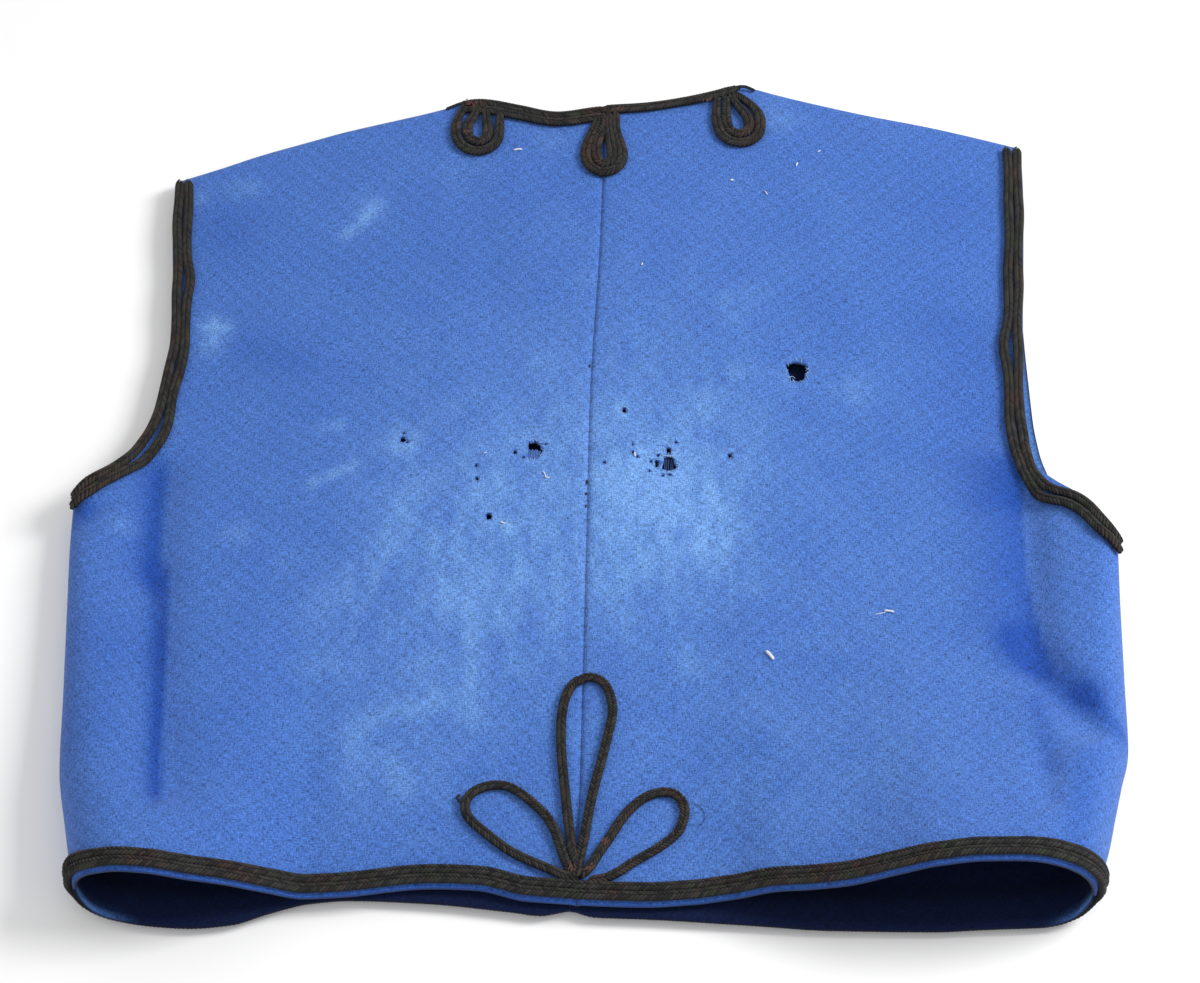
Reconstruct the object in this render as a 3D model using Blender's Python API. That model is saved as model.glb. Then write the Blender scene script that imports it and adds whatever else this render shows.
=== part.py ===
"""Folk vest of blue woollen cloth with black braid, laid flat on its front with its back up.

Sizes are millimetres on the vest's own axes: X to the right, Y from the hem to the neck and
Z up from the surface that it lies on. They become metres when a mesh is made. Each panel is
a blend of its four edges in plan, raised by a height function, with a wall of even cloth.
"""

from collections import namedtuple

import bpy
import numpy as np

# Driving dimensions
MM = 0.001
MIDDLE = np.array((-0.15, -0.95, 0.0))
CLOTH = 2.2
SEAM_GAP = 0.3
REST_GAP = 0.3
BODY_HEIGHT = 7.6
HEM_REACH = 92.0
HEM_FADE_POWER = 1.3
SIDE_SWELL = 8.0
SWELL_WIDTH = 34.0
SWELL_FADE = 70.0
BACK_ROLL = 1.2
FRONT_ROLL = 1.05
LEAST_RISE = 3.4
SHOULDER_SEAM = 3.5
SHOULDER_ROLL = 4.6
UNDERARM_SHARE = 0.45
SHARE_STEP = 1e-6
LAST_SHARE = 1 - 1e-8
PLAN_STEP = 0.5
LEAST_SINE = 0.3
SHARP_ANGLE = 45.0

# The braid: one flat-backed cord, couched more tightly along the hem
BRAID_HEIGHT = 3.0
BRAID_BED = BRAID_HEIGHT + 2 * REST_GAP
HEM_BRAID = 3.7
EDGE_BRAID = 4.1
PETAL_BRAID = 4.3
LOOP_BRAID = 4.6
LOOP_ROOT_BRAID = 3.8
HEM_MARGIN = 1.6
HEM_END_SHARE = 0.15
EDGE_MARGIN = 0.1
ROW_GAP = 0.4
LOOP_ROW_GAP = 0.9
ROLL_LIFT = 0.6
BED_LENGTH = 10.5
BED_RAMP = 12.0
NECK_BAND_LEFT = 9.6
NECK_BAND_RIGHT = 5.2
OVER_EDGE = 1.54
LOOP_ARC = (152.0, 388.0)
LOOP_STEPS = 13
PETAL_SPACING = 8.6

CLOTH_BLUE = (0.050, 0.145, 0.560, 1.0)
LINING_NAVY = (0.030, 0.080, 0.330, 1.0)
BRAID_BLACK = (0.012, 0.011, 0.010, 1.0)
CLOTH_ROUGHNESS = 0.9
BRAID_ROUGHNESS = 0.8

LEFT, RIGHT = -1, 1

HemRow = namedtuple("HemRow", "x y crown")
SideRow = namedtuple("SideRow", "y x seam")
EdgeRow = namedtuple("EdgeRow", "x y")
Fold = namedtuple("Fold", "name width height route")
Loop = namedtuple("Loop", "name root_x root_half belly_x belly_y belly_half")
Petal = namedtuple("Petal", "name route")
Hole = namedtuple("Hole", "name side x y wide long phase")
Wave = namedtuple("Wave", "turns height")
SectionPoint = namedtuple("SectionPoint", "over high")
Parting = namedtuple("Parting", "y length gap")
Panel = namedtuple("Panel", "name side is_back columns rows")

# Edge of the back's hem in plan, and how high the cloth stands behind it
BACK_HEM = (
    HemRow(x=-198.8, y=-219.0, crown=38.0),
    HemRow(x=-186.0, y=-222.0, crown=38.0),
    HemRow(x=-170.0, y=-223.2, crown=37.0),
    HemRow(x=-155.0, y=-223.3, crown=32.5),
    HemRow(x=-139.0, y=-222.5, crown=26.5),
    HemRow(x=-125.0, y=-220.0, crown=16.5),
    HemRow(x=-110.0, y=-218.6, crown=9.3),
    HemRow(x=-96.0, y=-217.6, crown=8.9),
    HemRow(x=-63.0, y=-214.2, crown=9.3),
    HemRow(x=-45.0, y=-215.0, crown=9.6),
    HemRow(x=-25.0, y=-219.5, crown=9.0),
    HemRow(x=22.0, y=-222.0, crown=8.9),
    HemRow(x=38.0, y=-221.0, crown=9.0),
    HemRow(x=53.0, y=-220.2, crown=11.5),
    HemRow(x=68.0, y=-221.0, crown=18.6),
    HemRow(x=84.0, y=-223.0, crown=24.2),
    HemRow(x=99.0, y=-224.0, crown=29.5),
    HemRow(x=114.0, y=-223.8, crown=36.2),
    HemRow(x=130.0, y=-224.0, crown=43.5),
    HemRow(x=146.0, y=-223.5, crown=46.0),
    HemRow(x=176.0, y=-223.5, crown=46.5),
    HemRow(x=191.6, y=-223.0, crown=46.5),
)

# Edge of the fronts' hem in plan, with the notch where they meet
FRONT_HEM = (
    EdgeRow(x=-198.8, y=-219.0),
    EdgeRow(x=-194.0, y=-222.5),
    EdgeRow(x=-186.0, y=-225.0),
    EdgeRow(x=-170.0, y=-228.0),
    EdgeRow(x=-155.0, y=-229.0),
    EdgeRow(x=-139.0, y=-227.5),
    EdgeRow(x=-125.0, y=-222.6),
    EdgeRow(x=-109.0, y=-218.1),
    EdgeRow(x=-94.0, y=-216.8),
    EdgeRow(x=-63.0, y=-218.2),
    EdgeRow(x=-32.0, y=-221.8),
    EdgeRow(x=-20.0, y=-223.4),
    EdgeRow(x=-9.0, y=-221.6),
    EdgeRow(x=0.0, y=-224.0),
    EdgeRow(x=22.0, y=-225.0),
    EdgeRow(x=61.0, y=-227.7),
    EdgeRow(x=91.0, y=-229.9),
    EdgeRow(x=130.0, y=-230.5),
    EdgeRow(x=153.0, y=-229.4),
    EdgeRow(x=172.0, y=-228.6),
    EdgeRow(x=184.0, y=-226.8),
    EdgeRow(x=191.6, y=-223.0),
)

# Outline of each side from the hem to the underarm, and the height of its seam
SIDES = {
    LEFT: (
        SideRow(y=-219.0, x=-198.8, seam=16.0),
        SideRow(y=-192.0, x=-204.9, seam=14.0),
        SideRow(y=-165.0, x=-210.4, seam=12.5),
        SideRow(y=-128.0, x=-213.4, seam=11.0),
        SideRow(y=-84.0, x=-217.0, seam=10.0),
        SideRow(y=-45.0, x=-219.8, seam=10.0),
        SideRow(y=-28.0, x=-220.4, seam=10.0),
    ),
    RIGHT: (
        SideRow(y=-223.0, x=191.6, seam=18.0),
        SideRow(y=-203.0, x=198.9, seam=17.0),
        SideRow(y=-189.0, x=202.8, seam=16.0),
        SideRow(y=-174.0, x=207.0, seam=15.0),
        SideRow(y=-157.0, x=211.8, seam=13.5),
        SideRow(y=-123.0, x=214.4, seam=12.0),
        SideRow(y=-76.0, x=217.8, seam=11.0),
        SideRow(y=-52.0, x=219.8, seam=11.0),
    ),
}

# Armhole edges from the underarm to the shoulder tip
BACK_ARMHOLES = {
    LEFT: (
        EdgeRow(x=-220.4, y=-28.0),
        EdgeRow(x=-214.8, y=-20.3),
        EdgeRow(x=-205.6, y=-10.8),
        EdgeRow(x=-197.4, y=1.0),
        EdgeRow(x=-193.0, y=12.5),
        EdgeRow(x=-190.6, y=30.0),
        EdgeRow(x=-188.0, y=60.0),
        EdgeRow(x=-189.7, y=95.0),
        EdgeRow(x=-192.9, y=132.0),
        EdgeRow(x=-194.8, y=165.5),
    ),
    RIGHT: (
        EdgeRow(x=219.8, y=-52.0),
        EdgeRow(x=215.5, y=-44.4),
        EdgeRow(x=211.4, y=-35.9),
        EdgeRow(x=205.6, y=-26.0),
        EdgeRow(x=196.8, y=-17.0),
        EdgeRow(x=190.0, y=-8.0),
        EdgeRow(x=187.4, y=4.0),
        EdgeRow(x=187.9, y=32.0),
        EdgeRow(x=192.0, y=83.0),
        EdgeRow(x=195.5, y=119.0),
        EdgeRow(x=198.8, y=158.0),
        EdgeRow(x=200.2, y=187.5),
    ),
}

# The right front reaches past the back's armhole. The left front stays hidden behind it.
FRONT_ARMHOLES = {
    LEFT: (
        EdgeRow(x=-220.4, y=-28.0),
        EdgeRow(x=-212.0, y=-16.3),
        EdgeRow(x=-200.0, y=-4.0),
        EdgeRow(x=-191.0, y=12.0),
        EdgeRow(x=-185.0, y=45.0),
        EdgeRow(x=-187.0, y=100.0),
        EdgeRow(x=-194.8, y=165.5),
    ),
    RIGHT: (
        EdgeRow(x=219.8, y=-52.0),
        EdgeRow(x=212.8, y=-32.8),
        EdgeRow(x=204.8, y=-19.6),
        EdgeRow(x=196.6, y=-8.5),
        EdgeRow(x=193.0, y=7.0),
        EdgeRow(x=191.8, y=26.0),
        EdgeRow(x=191.9, y=56.0),
        EdgeRow(x=192.3, y=80.0),
        EdgeRow(x=194.0, y=120.0),
        EdgeRow(x=200.2, y=187.5),
    ),
}

SHOULDERS = {
    LEFT: (
        EdgeRow(x=-194.8, y=165.5),
        EdgeRow(x=-175.0, y=173.9),
        EdgeRow(x=-157.0, y=182.9),
        EdgeRow(x=-120.0, y=197.2),
        EdgeRow(x=-83.0, y=209.9),
        EdgeRow(x=-67.8, y=215.2),
    ),
    RIGHT: (
        EdgeRow(x=73.8, y=228.6),
        EdgeRow(x=89.0, y=222.8),
        EdgeRow(x=126.6, y=210.4),
        EdgeRow(x=164.0, y=200.0),
        EdgeRow(x=200.2, y=187.5),
    ),
}

BACK_NECK = (
    EdgeRow(x=-67.8, y=215.2),
    EdgeRow(x=-54.5, y=215.6),
    EdgeRow(x=-35.4, y=212.0),
    EdgeRow(x=-16.3, y=207.6),
    EdgeRow(x=2.7, y=210.6),
    EdgeRow(x=22.0, y=212.4),
    EdgeRow(x=41.0, y=216.4),
    EdgeRow(x=60.0, y=221.8),
    EdgeRow(x=73.8, y=228.6),
)

FRONT_NECKS = {
    LEFT: (
        EdgeRow(x=-67.8, y=215.2),
        EdgeRow(x=-63.0, y=185.0),
        EdgeRow(x=-52.0, y=145.0),
        EdgeRow(x=-33.0, y=112.0),
        EdgeRow(x=-4.0, y=92.0),
    ),
    RIGHT: (
        EdgeRow(x=-4.0, y=92.0),
        EdgeRow(x=34.0, y=112.0),
        EdgeRow(x=55.0, y=145.0),
        EdgeRow(x=68.0, y=190.0),
        EdgeRow(x=73.8, y=228.6),
    ),
}

# Centre lines. Their end rows lie a little inside the hem and the neck, and run on straight.
BACK_CENTRE = (
    EdgeRow(x=-6.2, y=-220.0),
    EdgeRow(x=-3.2, y=-56.0),
    EdgeRow(x=-1.7, y=31.0),
    EdgeRow(x=2.7, y=126.0),
    EdgeRow(x=5.2, y=208.0),
)

FRONT_CENTRE = (
    EdgeRow(x=-9.0, y=-221.6),
    EdgeRow(x=-4.0, y=92.0),
)

# Largest folds of the back, each a soft trough along its route
FOLDS = (
    Fold("left side trough", 11.0, -5.0,
         ((-186, -12), (-184, -60), (-180, -100), (-173, -142), (-166, -178))),
    Fold("right side trough", 9.0, -5.5,
         ((183, -30), (180, -80), (179, -95), (181, -121), (189, -138), (197, -152))),
    Fold("right hem pleat", 6.0, -2.5,
         ((176, -166), (174, -190))),
    Fold("left underarm dent", 6.0, -1.6,
         ((-217, -46), (-213, -37), (-206, -32))),
)

# Stretches of the armholes where the two rows of braid part and the cloth shows between
PARTINGS = {
    "left": Parting(y=14.0, length=17.0, gap=1.3),
    "right": Parting(y=58.0, length=14.0, gap=1.0),
}

LOOPS = (
    Loop("left", root_x=-53.8, root_half=10.3, belly_x=-54.4, belly_y=192.0, belly_half=12.2),
    Loop("centre", root_x=5.5, root_half=8.3, belly_x=5.0, belly_y=179.8, belly_half=10.4),
    Loop("right", root_x=66.0, root_half=10.7, belly_x=68.0, belly_y=197.0, belly_half=11.8),
)

PETALS = (
    Petal("left", ((-17.2, -206.9), (-25.9, -202.6), (-32.6, -198.6), (-39.3, -193.3),
                   (-46.2, -186.9), (-49.6, -181.9), (-50.0, -176.5), (-46.6, -171.6),
                   (-40.7, -169.0), (-34.7, -169.0), (-29.6, -171.6), (-23.6, -176.9),
                   (-18.4, -182.6), (-15.4, -188.6), (-13.6, -195.5), (-12.3, -201.5),
                   (-11.6, -206.6))),
    Petal("centre", ((-8.4, -197.8), (-9.0, -189.2), (-10.4, -177.3), (-11.9, -161.6),
                     (-12.7, -149.3), (-12.7, -136.9), (-11.0, -126.5), (-7.0, -119.0),
                     (-1.3, -116.6), (4.4, -119.6), (7.4, -128.0), (7.6, -136.0),
                     (5.9, -145.1), (2.8, -159.2), (0.0, -171.8), (-2.3, -185.6),
                     (-3.5, -197.8))),
    Petal("right", ((0.4, -206.9), (1.3, -203.2), (3.2, -198.6), (6.3, -192.4),
                    (10.2, -185.6), (14.9, -179.4), (20.5, -174.3), (26.4, -171.8),
                    (31.9, -172.3), (35.4, -176.9), (35.7, -182.8), (33.2, -190.1),
                    (27.6, -195.5), (21.0, -200.0), (14.0, -204.6), (9.4, -207.2))),
)

TREFOIL_ROOT = ((-5.9, -201.0), (-5.7, -204.6), (-5.5, -208.2))

HOLES = (
    Hole("upper_right", RIGHT, x=89.6, y=48.2, wide=8.6, long=10.8, phase=0.4),
    Hole("middle_left", LEFT, x=-26.1, y=3.0, wide=6.2, long=9.6, phase=1.7),
    Hole("middle_right", RIGHT, x=30.3, y=-2.6, wide=5.4, long=11.8, phase=2.9),
)

HOLE_CORNERS = 11
HOLE_DEPTH = 3 * CLOTH
RAGGED_EDGE = (Wave(turns=3, height=0.14), Wave(turns=5, height=0.08))

# The braid across its run, in shares of half its width and of its height
BRAID_SECTION = (
    SectionPoint(over=-0.68, high=0.0),
    SectionPoint(over=0.68, high=0.0),
    SectionPoint(over=1.0, high=0.42),
    SectionPoint(over=0.64, high=0.86),
    SectionPoint(over=0.0, high=1.0),
    SectionPoint(over=-0.64, high=0.86),
    SectionPoint(over=-1.0, high=0.42),
)

# Shares of a panel's width, counted in from its side, and of its length, counted from the hem
SIDE_COLUMNS = (0.0, 0.005, 0.017, 0.038, 0.067, 0.095, 0.124, 0.152, 0.181, 0.21, 0.25,
                0.305, 0.38, 0.465, 0.55)
FRONT_SIDE_COLUMNS = (0.0, 0.005, 0.017, 0.038, 0.060, 0.085, 0.124, 0.21, 0.305, 0.465)
LOWER_ROWS = (0.0, 0.025, 0.055, 0.085, 0.115, 0.18, 0.28, 0.40, 0.54, 0.68, 0.84, 1.0)
BACK_UPPER_ROWS = (0.013, 0.027, 0.042, 0.059, 0.08, 0.11, 0.155, 0.20, 0.27, 0.36, 0.46, 0.57,
                   0.68, 0.80, 0.90, 0.979, 0.9895, 0.9972, 1.0)
FRONT_UPPER_ROWS = (0.07, 0.155, 0.27, 0.46, 0.66, 0.86, 0.94, 0.979, 0.9895, 0.9972, 1.0)
NECK_COLUMNS = 7
FRONT_NECK_COLUMNS = 5


def column_of(table, name):
    """Return one named column of a table as an array."""
    return np.array([getattr(row, name) for row in table], dtype=float)


def follow(table, knot, value, at):
    """Read one column of a table against another, along a cubic that never overshoots."""
    knots = column_of(table, knot)
    values = column_of(table, value)
    if knots[0] > knots[-1]:
        knots, values = knots[::-1], values[::-1]
    steps = np.diff(knots)
    grades = np.diff(values) / steps
    slopes = np.zeros(len(knots))
    product = grades[:-1] * grades[1:]
    level = np.where(product > 0, grades[:-1] + grades[1:], 1.0)
    slopes[1:-1] = np.where(product > 0, 2 * product / level, 0.0)
    slopes[0], slopes[-1] = grades[0], grades[-1]
    at = np.clip(at, knots[0], knots[-1])
    cell = np.clip(np.searchsorted(knots, at, side="right") - 1, 0, len(steps) - 1)
    u = (at - knots[cell]) / steps[cell]
    start = values[cell] * (1 + 2 * u) * (1 - u) ** 2
    end = values[cell + 1] * u * u * (3 - 2 * u)
    bend = slopes[cell] * u * (1 - u) ** 2 + slopes[cell + 1] * u * u * (u - 1)
    return start + end + bend * steps[cell]


def ease(share):
    """Turn a share from 0 to 1 into a soft step."""
    share = np.clip(share, 0.0, 1.0)
    return share * share * (3 - 2 * share)


def rolled(distance, width):
    """Rise of a rolled edge: 0 at the outline, 1 at its width in from there."""
    return np.sqrt(1 - np.clip(1 - distance / width, 0.0, 1.0) ** 2)


def neck_corner(side):
    """End of a shoulder line at the neck."""
    return SHOULDERS[side][-1] if side == LEFT else SHOULDERS[side][0]


def shoulder_tip(side):
    """End of a shoulder line at the armhole."""
    return SHOULDERS[side][0] if side == LEFT else SHOULDERS[side][-1]


def inside_outline(side, x, y):
    """Distance of a plan point in from its side's outline, carried on past the underarm."""
    return np.maximum(side * (follow(SIDES[side], "y", "x", y) - x), 0.0)


def below_shoulder(side, x, y):
    """Distance of a plan point in from its shoulder line or from that line's neck end."""
    line = follow(SHOULDERS[side], "x", "y", x)
    past_corner = np.maximum(side * (neck_corner(side).x - x), 0.0)
    return np.hypot(np.maximum(line - y, 0.0), past_corner)


def fold_height(x, y):
    """Sum of the back's folds at a plan point."""
    total = np.zeros(np.shape(x))
    for fold in FOLDS:
        route = np.array(fold.route, dtype=float)
        nearest = np.full(np.shape(x), np.inf)
        for start, end in zip(route[:-1], route[1:]):
            run = end - start
            along = ((x - start[0]) * run[0] + (y - start[1]) * run[1]) / (run @ run)
            along = np.clip(along, 0.0, 1.0)
            away = np.hypot(x - start[0] - along * run[0], y - start[1] - along * run[1])
            nearest = np.minimum(nearest, away)
        total = total + fold.height * np.exp(-(nearest / fold.width) ** 2)
    return total


def crown_height(side, x, y):
    """Height of the back's outer face before its edges roll down."""
    from_hem = np.maximum(y - follow(BACK_HEM, "x", "y", x), 0.0)
    hem_crown = follow(BACK_HEM, "x", "crown", x)
    fade = np.exp(-(from_hem / HEM_REACH) ** HEM_FADE_POWER)
    underarm = SIDES[side][-1].y
    near_side = np.exp(-(inside_outline(side, x, y) / SWELL_WIDTH) ** 2)
    swell = SIDE_SWELL * near_side * (1 - fade) * ease((underarm + SWELL_FADE - y) / SWELL_FADE)
    return BODY_HEIGHT + (hem_crown - BODY_HEIGHT) * fade + swell + fold_height(x, y)


def back_height(side, x, y):
    """Height of the back's outer face at a plan point."""
    seam = follow(SIDES[side], "y", "seam", y)
    rise = crown_height(side, x, y) - seam
    width = BACK_ROLL * np.maximum(rise, LEAST_RISE)
    level = seam + rise * rolled(inside_outline(side, x, y), width)
    drop = rolled(below_shoulder(side, x, y), SHOULDER_ROLL)
    return SHOULDER_SEAM + (level - SHOULDER_SEAM) * drop


def front_height(side, x, y):
    """Height of a front's outer face, which lies on the surface, at a plan point."""
    seam = follow(SIDES[side], "y", "seam", y)
    from_hem = y - follow(FRONT_HEM, "x", "y", x)
    bed = BRAID_BED * ease(1 - (from_hem - BED_LENGTH) / BED_RAMP)
    side_roll = rolled(inside_outline(side, x, y), FRONT_ROLL * seam)
    shoulder_roll = rolled(below_shoulder(side, x, y), SHOULDER_ROLL)
    low = seam + (bed - seam) * side_roll
    return SHOULDER_SEAM + (low - SHOULDER_SEAM) * shoulder_roll


def panel_edges(panel):
    """Return the four edge functions of a panel in plan: hem, top, centre and side."""
    side = panel.side
    hem = BACK_HEM if panel.is_back else FRONT_HEM
    middle = BACK_CENTRE if panel.is_back else FRONT_CENTRE
    neck = BACK_NECK if panel.is_back else FRONT_NECKS[side]
    armhole = (BACK_ARMHOLES if panel.is_back else FRONT_ARMHOLES)[side]
    offset = side * SEAM_GAP / 2
    low_x = middle[0].x + offset
    high_x = middle[-1].x + offset
    low_y = follow(hem, "x", "y", low_x)
    high_y = follow(neck, "x", "y", high_x)
    outline = SIDES[side]

    def hem_edge(f):
        x = low_x + (outline[0].x - low_x) * f
        return x, follow(hem, "x", "y", x)

    def top_edge(f):
        x = high_x + (shoulder_tip(side).x - high_x) * f
        on_shoulder = side * (x - neck_corner(side).x) >= 0
        y = np.where(on_shoulder, follow(SHOULDERS[side], "x", "y", x),
                     follow(neck, "x", "y", x))
        return x, y

    def centre_edge(t):
        y = low_y + (high_y - low_y) * t
        return follow(middle, "y", "x", y) + offset, y

    def side_edge(t):
        lower = np.clip(t / UNDERARM_SHARE, 0.0, 1.0)
        upper = np.clip((t - UNDERARM_SHARE) / (1 - UNDERARM_SHARE), 0.0, 1.0)
        low = outline[0].y + (outline[-1].y - outline[0].y) * lower
        high = armhole[0].y + (armhole[-1].y - armhole[0].y) * upper
        above = t > UNDERARM_SHARE
        x = np.where(above, follow(armhole, "y", "x", high), follow(outline, "y", "x", low))
        return x, np.where(above, high, low)

    return hem_edge, top_edge, centre_edge, side_edge


def panel_surface(panel, f, t):
    """Outer face of a panel at shares f across from the centre and t up from the hem."""
    hem_edge, top_edge, centre_edge, side_edge = panel_edges(panel)
    hem, top = np.array(hem_edge(f)), np.array(top_edge(f))
    centre, side = np.array(centre_edge(t)), np.array(side_edge(t))
    zero, one = np.zeros_like(f), np.ones_like(f)
    corners = ((1 - f) * (1 - t) * np.array(hem_edge(zero)) + f * (1 - t) * np.array(hem_edge(one))
               + (1 - f) * t * np.array(top_edge(zero)) + f * t * np.array(top_edge(one)))
    x, y = (1 - t) * hem + t * top + (1 - f) * centre + f * side - corners
    height = back_height if panel.is_back else front_height
    z = height(panel.side, x, y)
    seam_lift = SEAM_GAP / 2 if panel.is_back else -SEAM_GAP / 2
    on_seam = (f >= 1) & (t <= UNDERARM_SHARE) | (t >= 1)
    is_free_neck = (t >= 1) & (panel.side * (x - neck_corner(panel.side).x) < 0)
    return np.stack((x, y, z + np.where(on_seam & ~is_free_neck, seam_lift, 0.0)), axis=-1)


def panel_grid(panel):
    """Outer points of a panel on its rows and columns, with the normals that face out."""
    f, t = np.meshgrid(panel.columns, panel.rows)
    points = panel_surface(panel, f, t)
    left, low = (np.maximum(share - SHARE_STEP, 0.0) for share in (f, t))
    right, high = (np.minimum(share + SHARE_STEP, LAST_SHARE) for share in (f, t))
    inner_f, inner_t = (np.minimum(share, 1 - SHARE_STEP) for share in (f, t))
    across = panel_surface(panel, right, inner_t) - panel_surface(panel, left, inner_t)
    along = panel_surface(panel, inner_f, high) - panel_surface(panel, inner_f, low)
    normals = np.cross(across, along) * panel.side * (1 if panel.is_back else -1)
    return points, normals / np.linalg.norm(normals, axis=-1, keepdims=True)


def make_panel_shares(side, is_back):
    """Shares of a panel's width and length at which its columns and rows lie."""
    middle = (BACK_CENTRE if is_back else FRONT_CENTRE)[-1].x + side * SEAM_GAP / 2
    neck_share = (neck_corner(side).x - middle) / (shoulder_tip(side).x - middle)
    count = NECK_COLUMNS if is_back else FRONT_NECK_COLUMNS
    outer = SIDE_COLUMNS if is_back else FRONT_SIDE_COLUMNS
    columns = list(np.linspace(0.0, neck_share, count)) + [1 - share for share in outer[::-1]]
    upper = BACK_UPPER_ROWS if is_back else FRONT_UPPER_ROWS
    rows = [share * UNDERARM_SHARE for share in LOWER_ROWS]
    rows += [UNDERARM_SHARE + share * (1 - UNDERARM_SHARE) for share in upper]
    return np.array(columns), np.array(rows)


def make_mesh_object(name, vertices, faces, material, collection):
    """Make one mesh object from millimetre points."""
    mesh = bpy.data.meshes.new(name)
    mesh.from_pydata([tuple((point - MIDDLE) * MM) for point in vertices], [], faces)
    mesh.validate()
    mesh.shade_smooth()
    mesh.set_sharp_from_angle(angle=np.radians(SHARP_ANGLE))
    mesh.materials.append(material)
    thing = bpy.data.objects.new(name, mesh)
    collection.objects.link(thing)
    return thing


def make_material(name, colour, roughness):
    """Make a plain Principled material."""
    material = bpy.data.materials.new(name)
    material.use_nodes = True
    shader = material.node_tree.nodes["Principled BSDF"]
    shader.inputs["Base Color"].default_value = colour
    shader.inputs["Roughness"].default_value = roughness
    shader.inputs["Metallic"].default_value = 0.0
    material.diffuse_color = colour
    return material


def wall_faces(rows, columns, flip):
    """Faces of a closed wall: outer grid, inner grid and the rim between them."""
    inner = rows * columns
    faces = []
    for i in range(rows - 1):
        for j in range(columns - 1):
            a = i * columns + j
            quad = (a, a + 1, a + columns + 1, a + columns)
            faces.append(quad)
            faces.append(tuple(inner + k for k in reversed(quad)))
    rim = [j for j in range(columns)]
    rim += [i * columns + columns - 1 for i in range(1, rows)]
    rim += [(rows - 1) * columns + j for j in range(columns - 2, -1, -1)]
    rim += [i * columns for i in range(rows - 2, 0, -1)]
    for a, b in zip(rim, rim[1:] + rim[:1]):
        faces.append((b, a, inner + a, inner + b))
    return [tuple(reversed(face)) for face in faces] if flip else faces


def build_panel(panel, material, collection):
    """Build a panel's wall of cloth and return its outer points and normals."""
    points, normals = panel_grid(panel)
    rows, columns = points.shape[:2]
    vertices = np.concatenate((points.reshape(-1, 3), (points - normals * CLOTH).reshape(-1, 3)))
    flip = (panel.side == RIGHT) != panel.is_back
    make_mesh_object(panel.name, vertices, wall_faces(rows, columns, flip), material, collection)
    return points, normals


def walk_in(line, normals, distance):
    """Point and normal at a distance along a line of panel points."""
    lengths = np.linalg.norm(np.diff(line, axis=0), axis=1)
    marks = np.concatenate(((0.0,), np.cumsum(lengths)))
    cell = min(int(np.searchsorted(marks, distance, side="right")) - 1, len(lengths) - 1)
    share = (distance - marks[cell]) / lengths[cell]
    point = line[cell] + (line[cell + 1] - line[cell]) * share
    normal = normals[cell] + (normals[cell + 1] - normals[cell]) * share
    return point, normal / np.linalg.norm(normal)


def inset_route(points, normals, inset):
    """Route along a panel's edge at an inset, from lines that start on that edge."""
    edge = points[:, 0]
    tangents = np.gradient(edge, axis=0)
    insets = np.broadcast_to(inset, len(edge))
    route = []
    for line, facing, tangent, distance in zip(points, normals, tangents, insets):
        inward = line[1] - line[0]
        sine = np.linalg.norm(np.cross(tangent, inward))
        sine /= np.linalg.norm(tangent) * np.linalg.norm(inward)
        route.append(walk_in(line, facing, distance / max(sine, LEAST_SINE)))
    return [step[0] for step in route], [step[1] for step in route]


def build_braid(name, route, facings, widths, material, collection, lift=REST_GAP):
    """Build a braid that lies along a route, with its flat back towards the cloth."""
    route, facings = np.array(route), np.array(facings)
    tangents = np.gradient(route, axis=0)
    tangents /= np.linalg.norm(tangents, axis=1, keepdims=True)
    across = np.cross(tangents, facings)
    across /= np.linalg.norm(across, axis=1, keepdims=True)
    upward = np.cross(across, tangents)
    vertices = []
    for point, sideways, up, width in zip(route, across, upward, widths):
        for place in BRAID_SECTION:
            over, high = place.over * width / 2, place.high * BRAID_HEIGHT + lift
            vertices.append(point + sideways * over + up * high)
    sides = len(BRAID_SECTION)
    count = len(route)
    faces = [tuple(range(sides)), tuple(range(count * sides - 1, (count - 1) * sides - 1, -1))]
    for i in range(count - 1):
        for k in range(sides):
            a, b = i * sides + k, i * sides + (k + 1) % sides
            faces.append((b, a, a + sides, b + sides))
    return make_mesh_object(name, vertices, faces, material, collection)


def plan_route(route):
    """Raise a plan route onto the back's outer face and find the way that it faces."""
    points, facings = [], []
    for x, y in route:
        side = LEFT if x < follow(BACK_CENTRE, "y", "x", y) else RIGHT
        z, z_x, z_y = (float(back_height(side, np.array(a), np.array(b)))
                       for a, b in ((x, y), (x + PLAN_STEP, y), (x, y + PLAN_STEP)))
        points.append((x, y, z))
        facings.append(((z - z_x) / PLAN_STEP, (z - z_y) / PLAN_STEP, 1.0))
    return points, facings


def smooth_route(route, spacing):
    """Read evenly spaced points from a smooth curve through a route's own points."""
    knots = np.array(route, dtype=float)
    padded = np.concatenate((2 * knots[:1] - knots[1:2], knots, 2 * knots[-1:] - knots[-2:-1]))
    fine = []
    for a, b, c, d in zip(padded[:-3], padded[1:-2], padded[2:-1], padded[3:]):
        for u in np.linspace(0.0, 1.0, 8, endpoint=False):
            fine.append(0.5 * (2 * b + (c - a) * u + (2 * a - 5 * b + 4 * c - d) * u * u
                               + (3 * b - a - 3 * c + d) * u ** 3))
    fine = np.array(fine + [knots[-1]])
    marks = np.concatenate(((0.0,), np.cumsum(np.linalg.norm(np.diff(fine, axis=0), axis=1))))
    count = max(int(round(marks[-1] / spacing)), 2) + 1
    at = np.linspace(0.0, marks[-1], count)
    return np.stack([np.interp(at, marks, fine[:, k]) for k in range(2)], axis=1)


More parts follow.
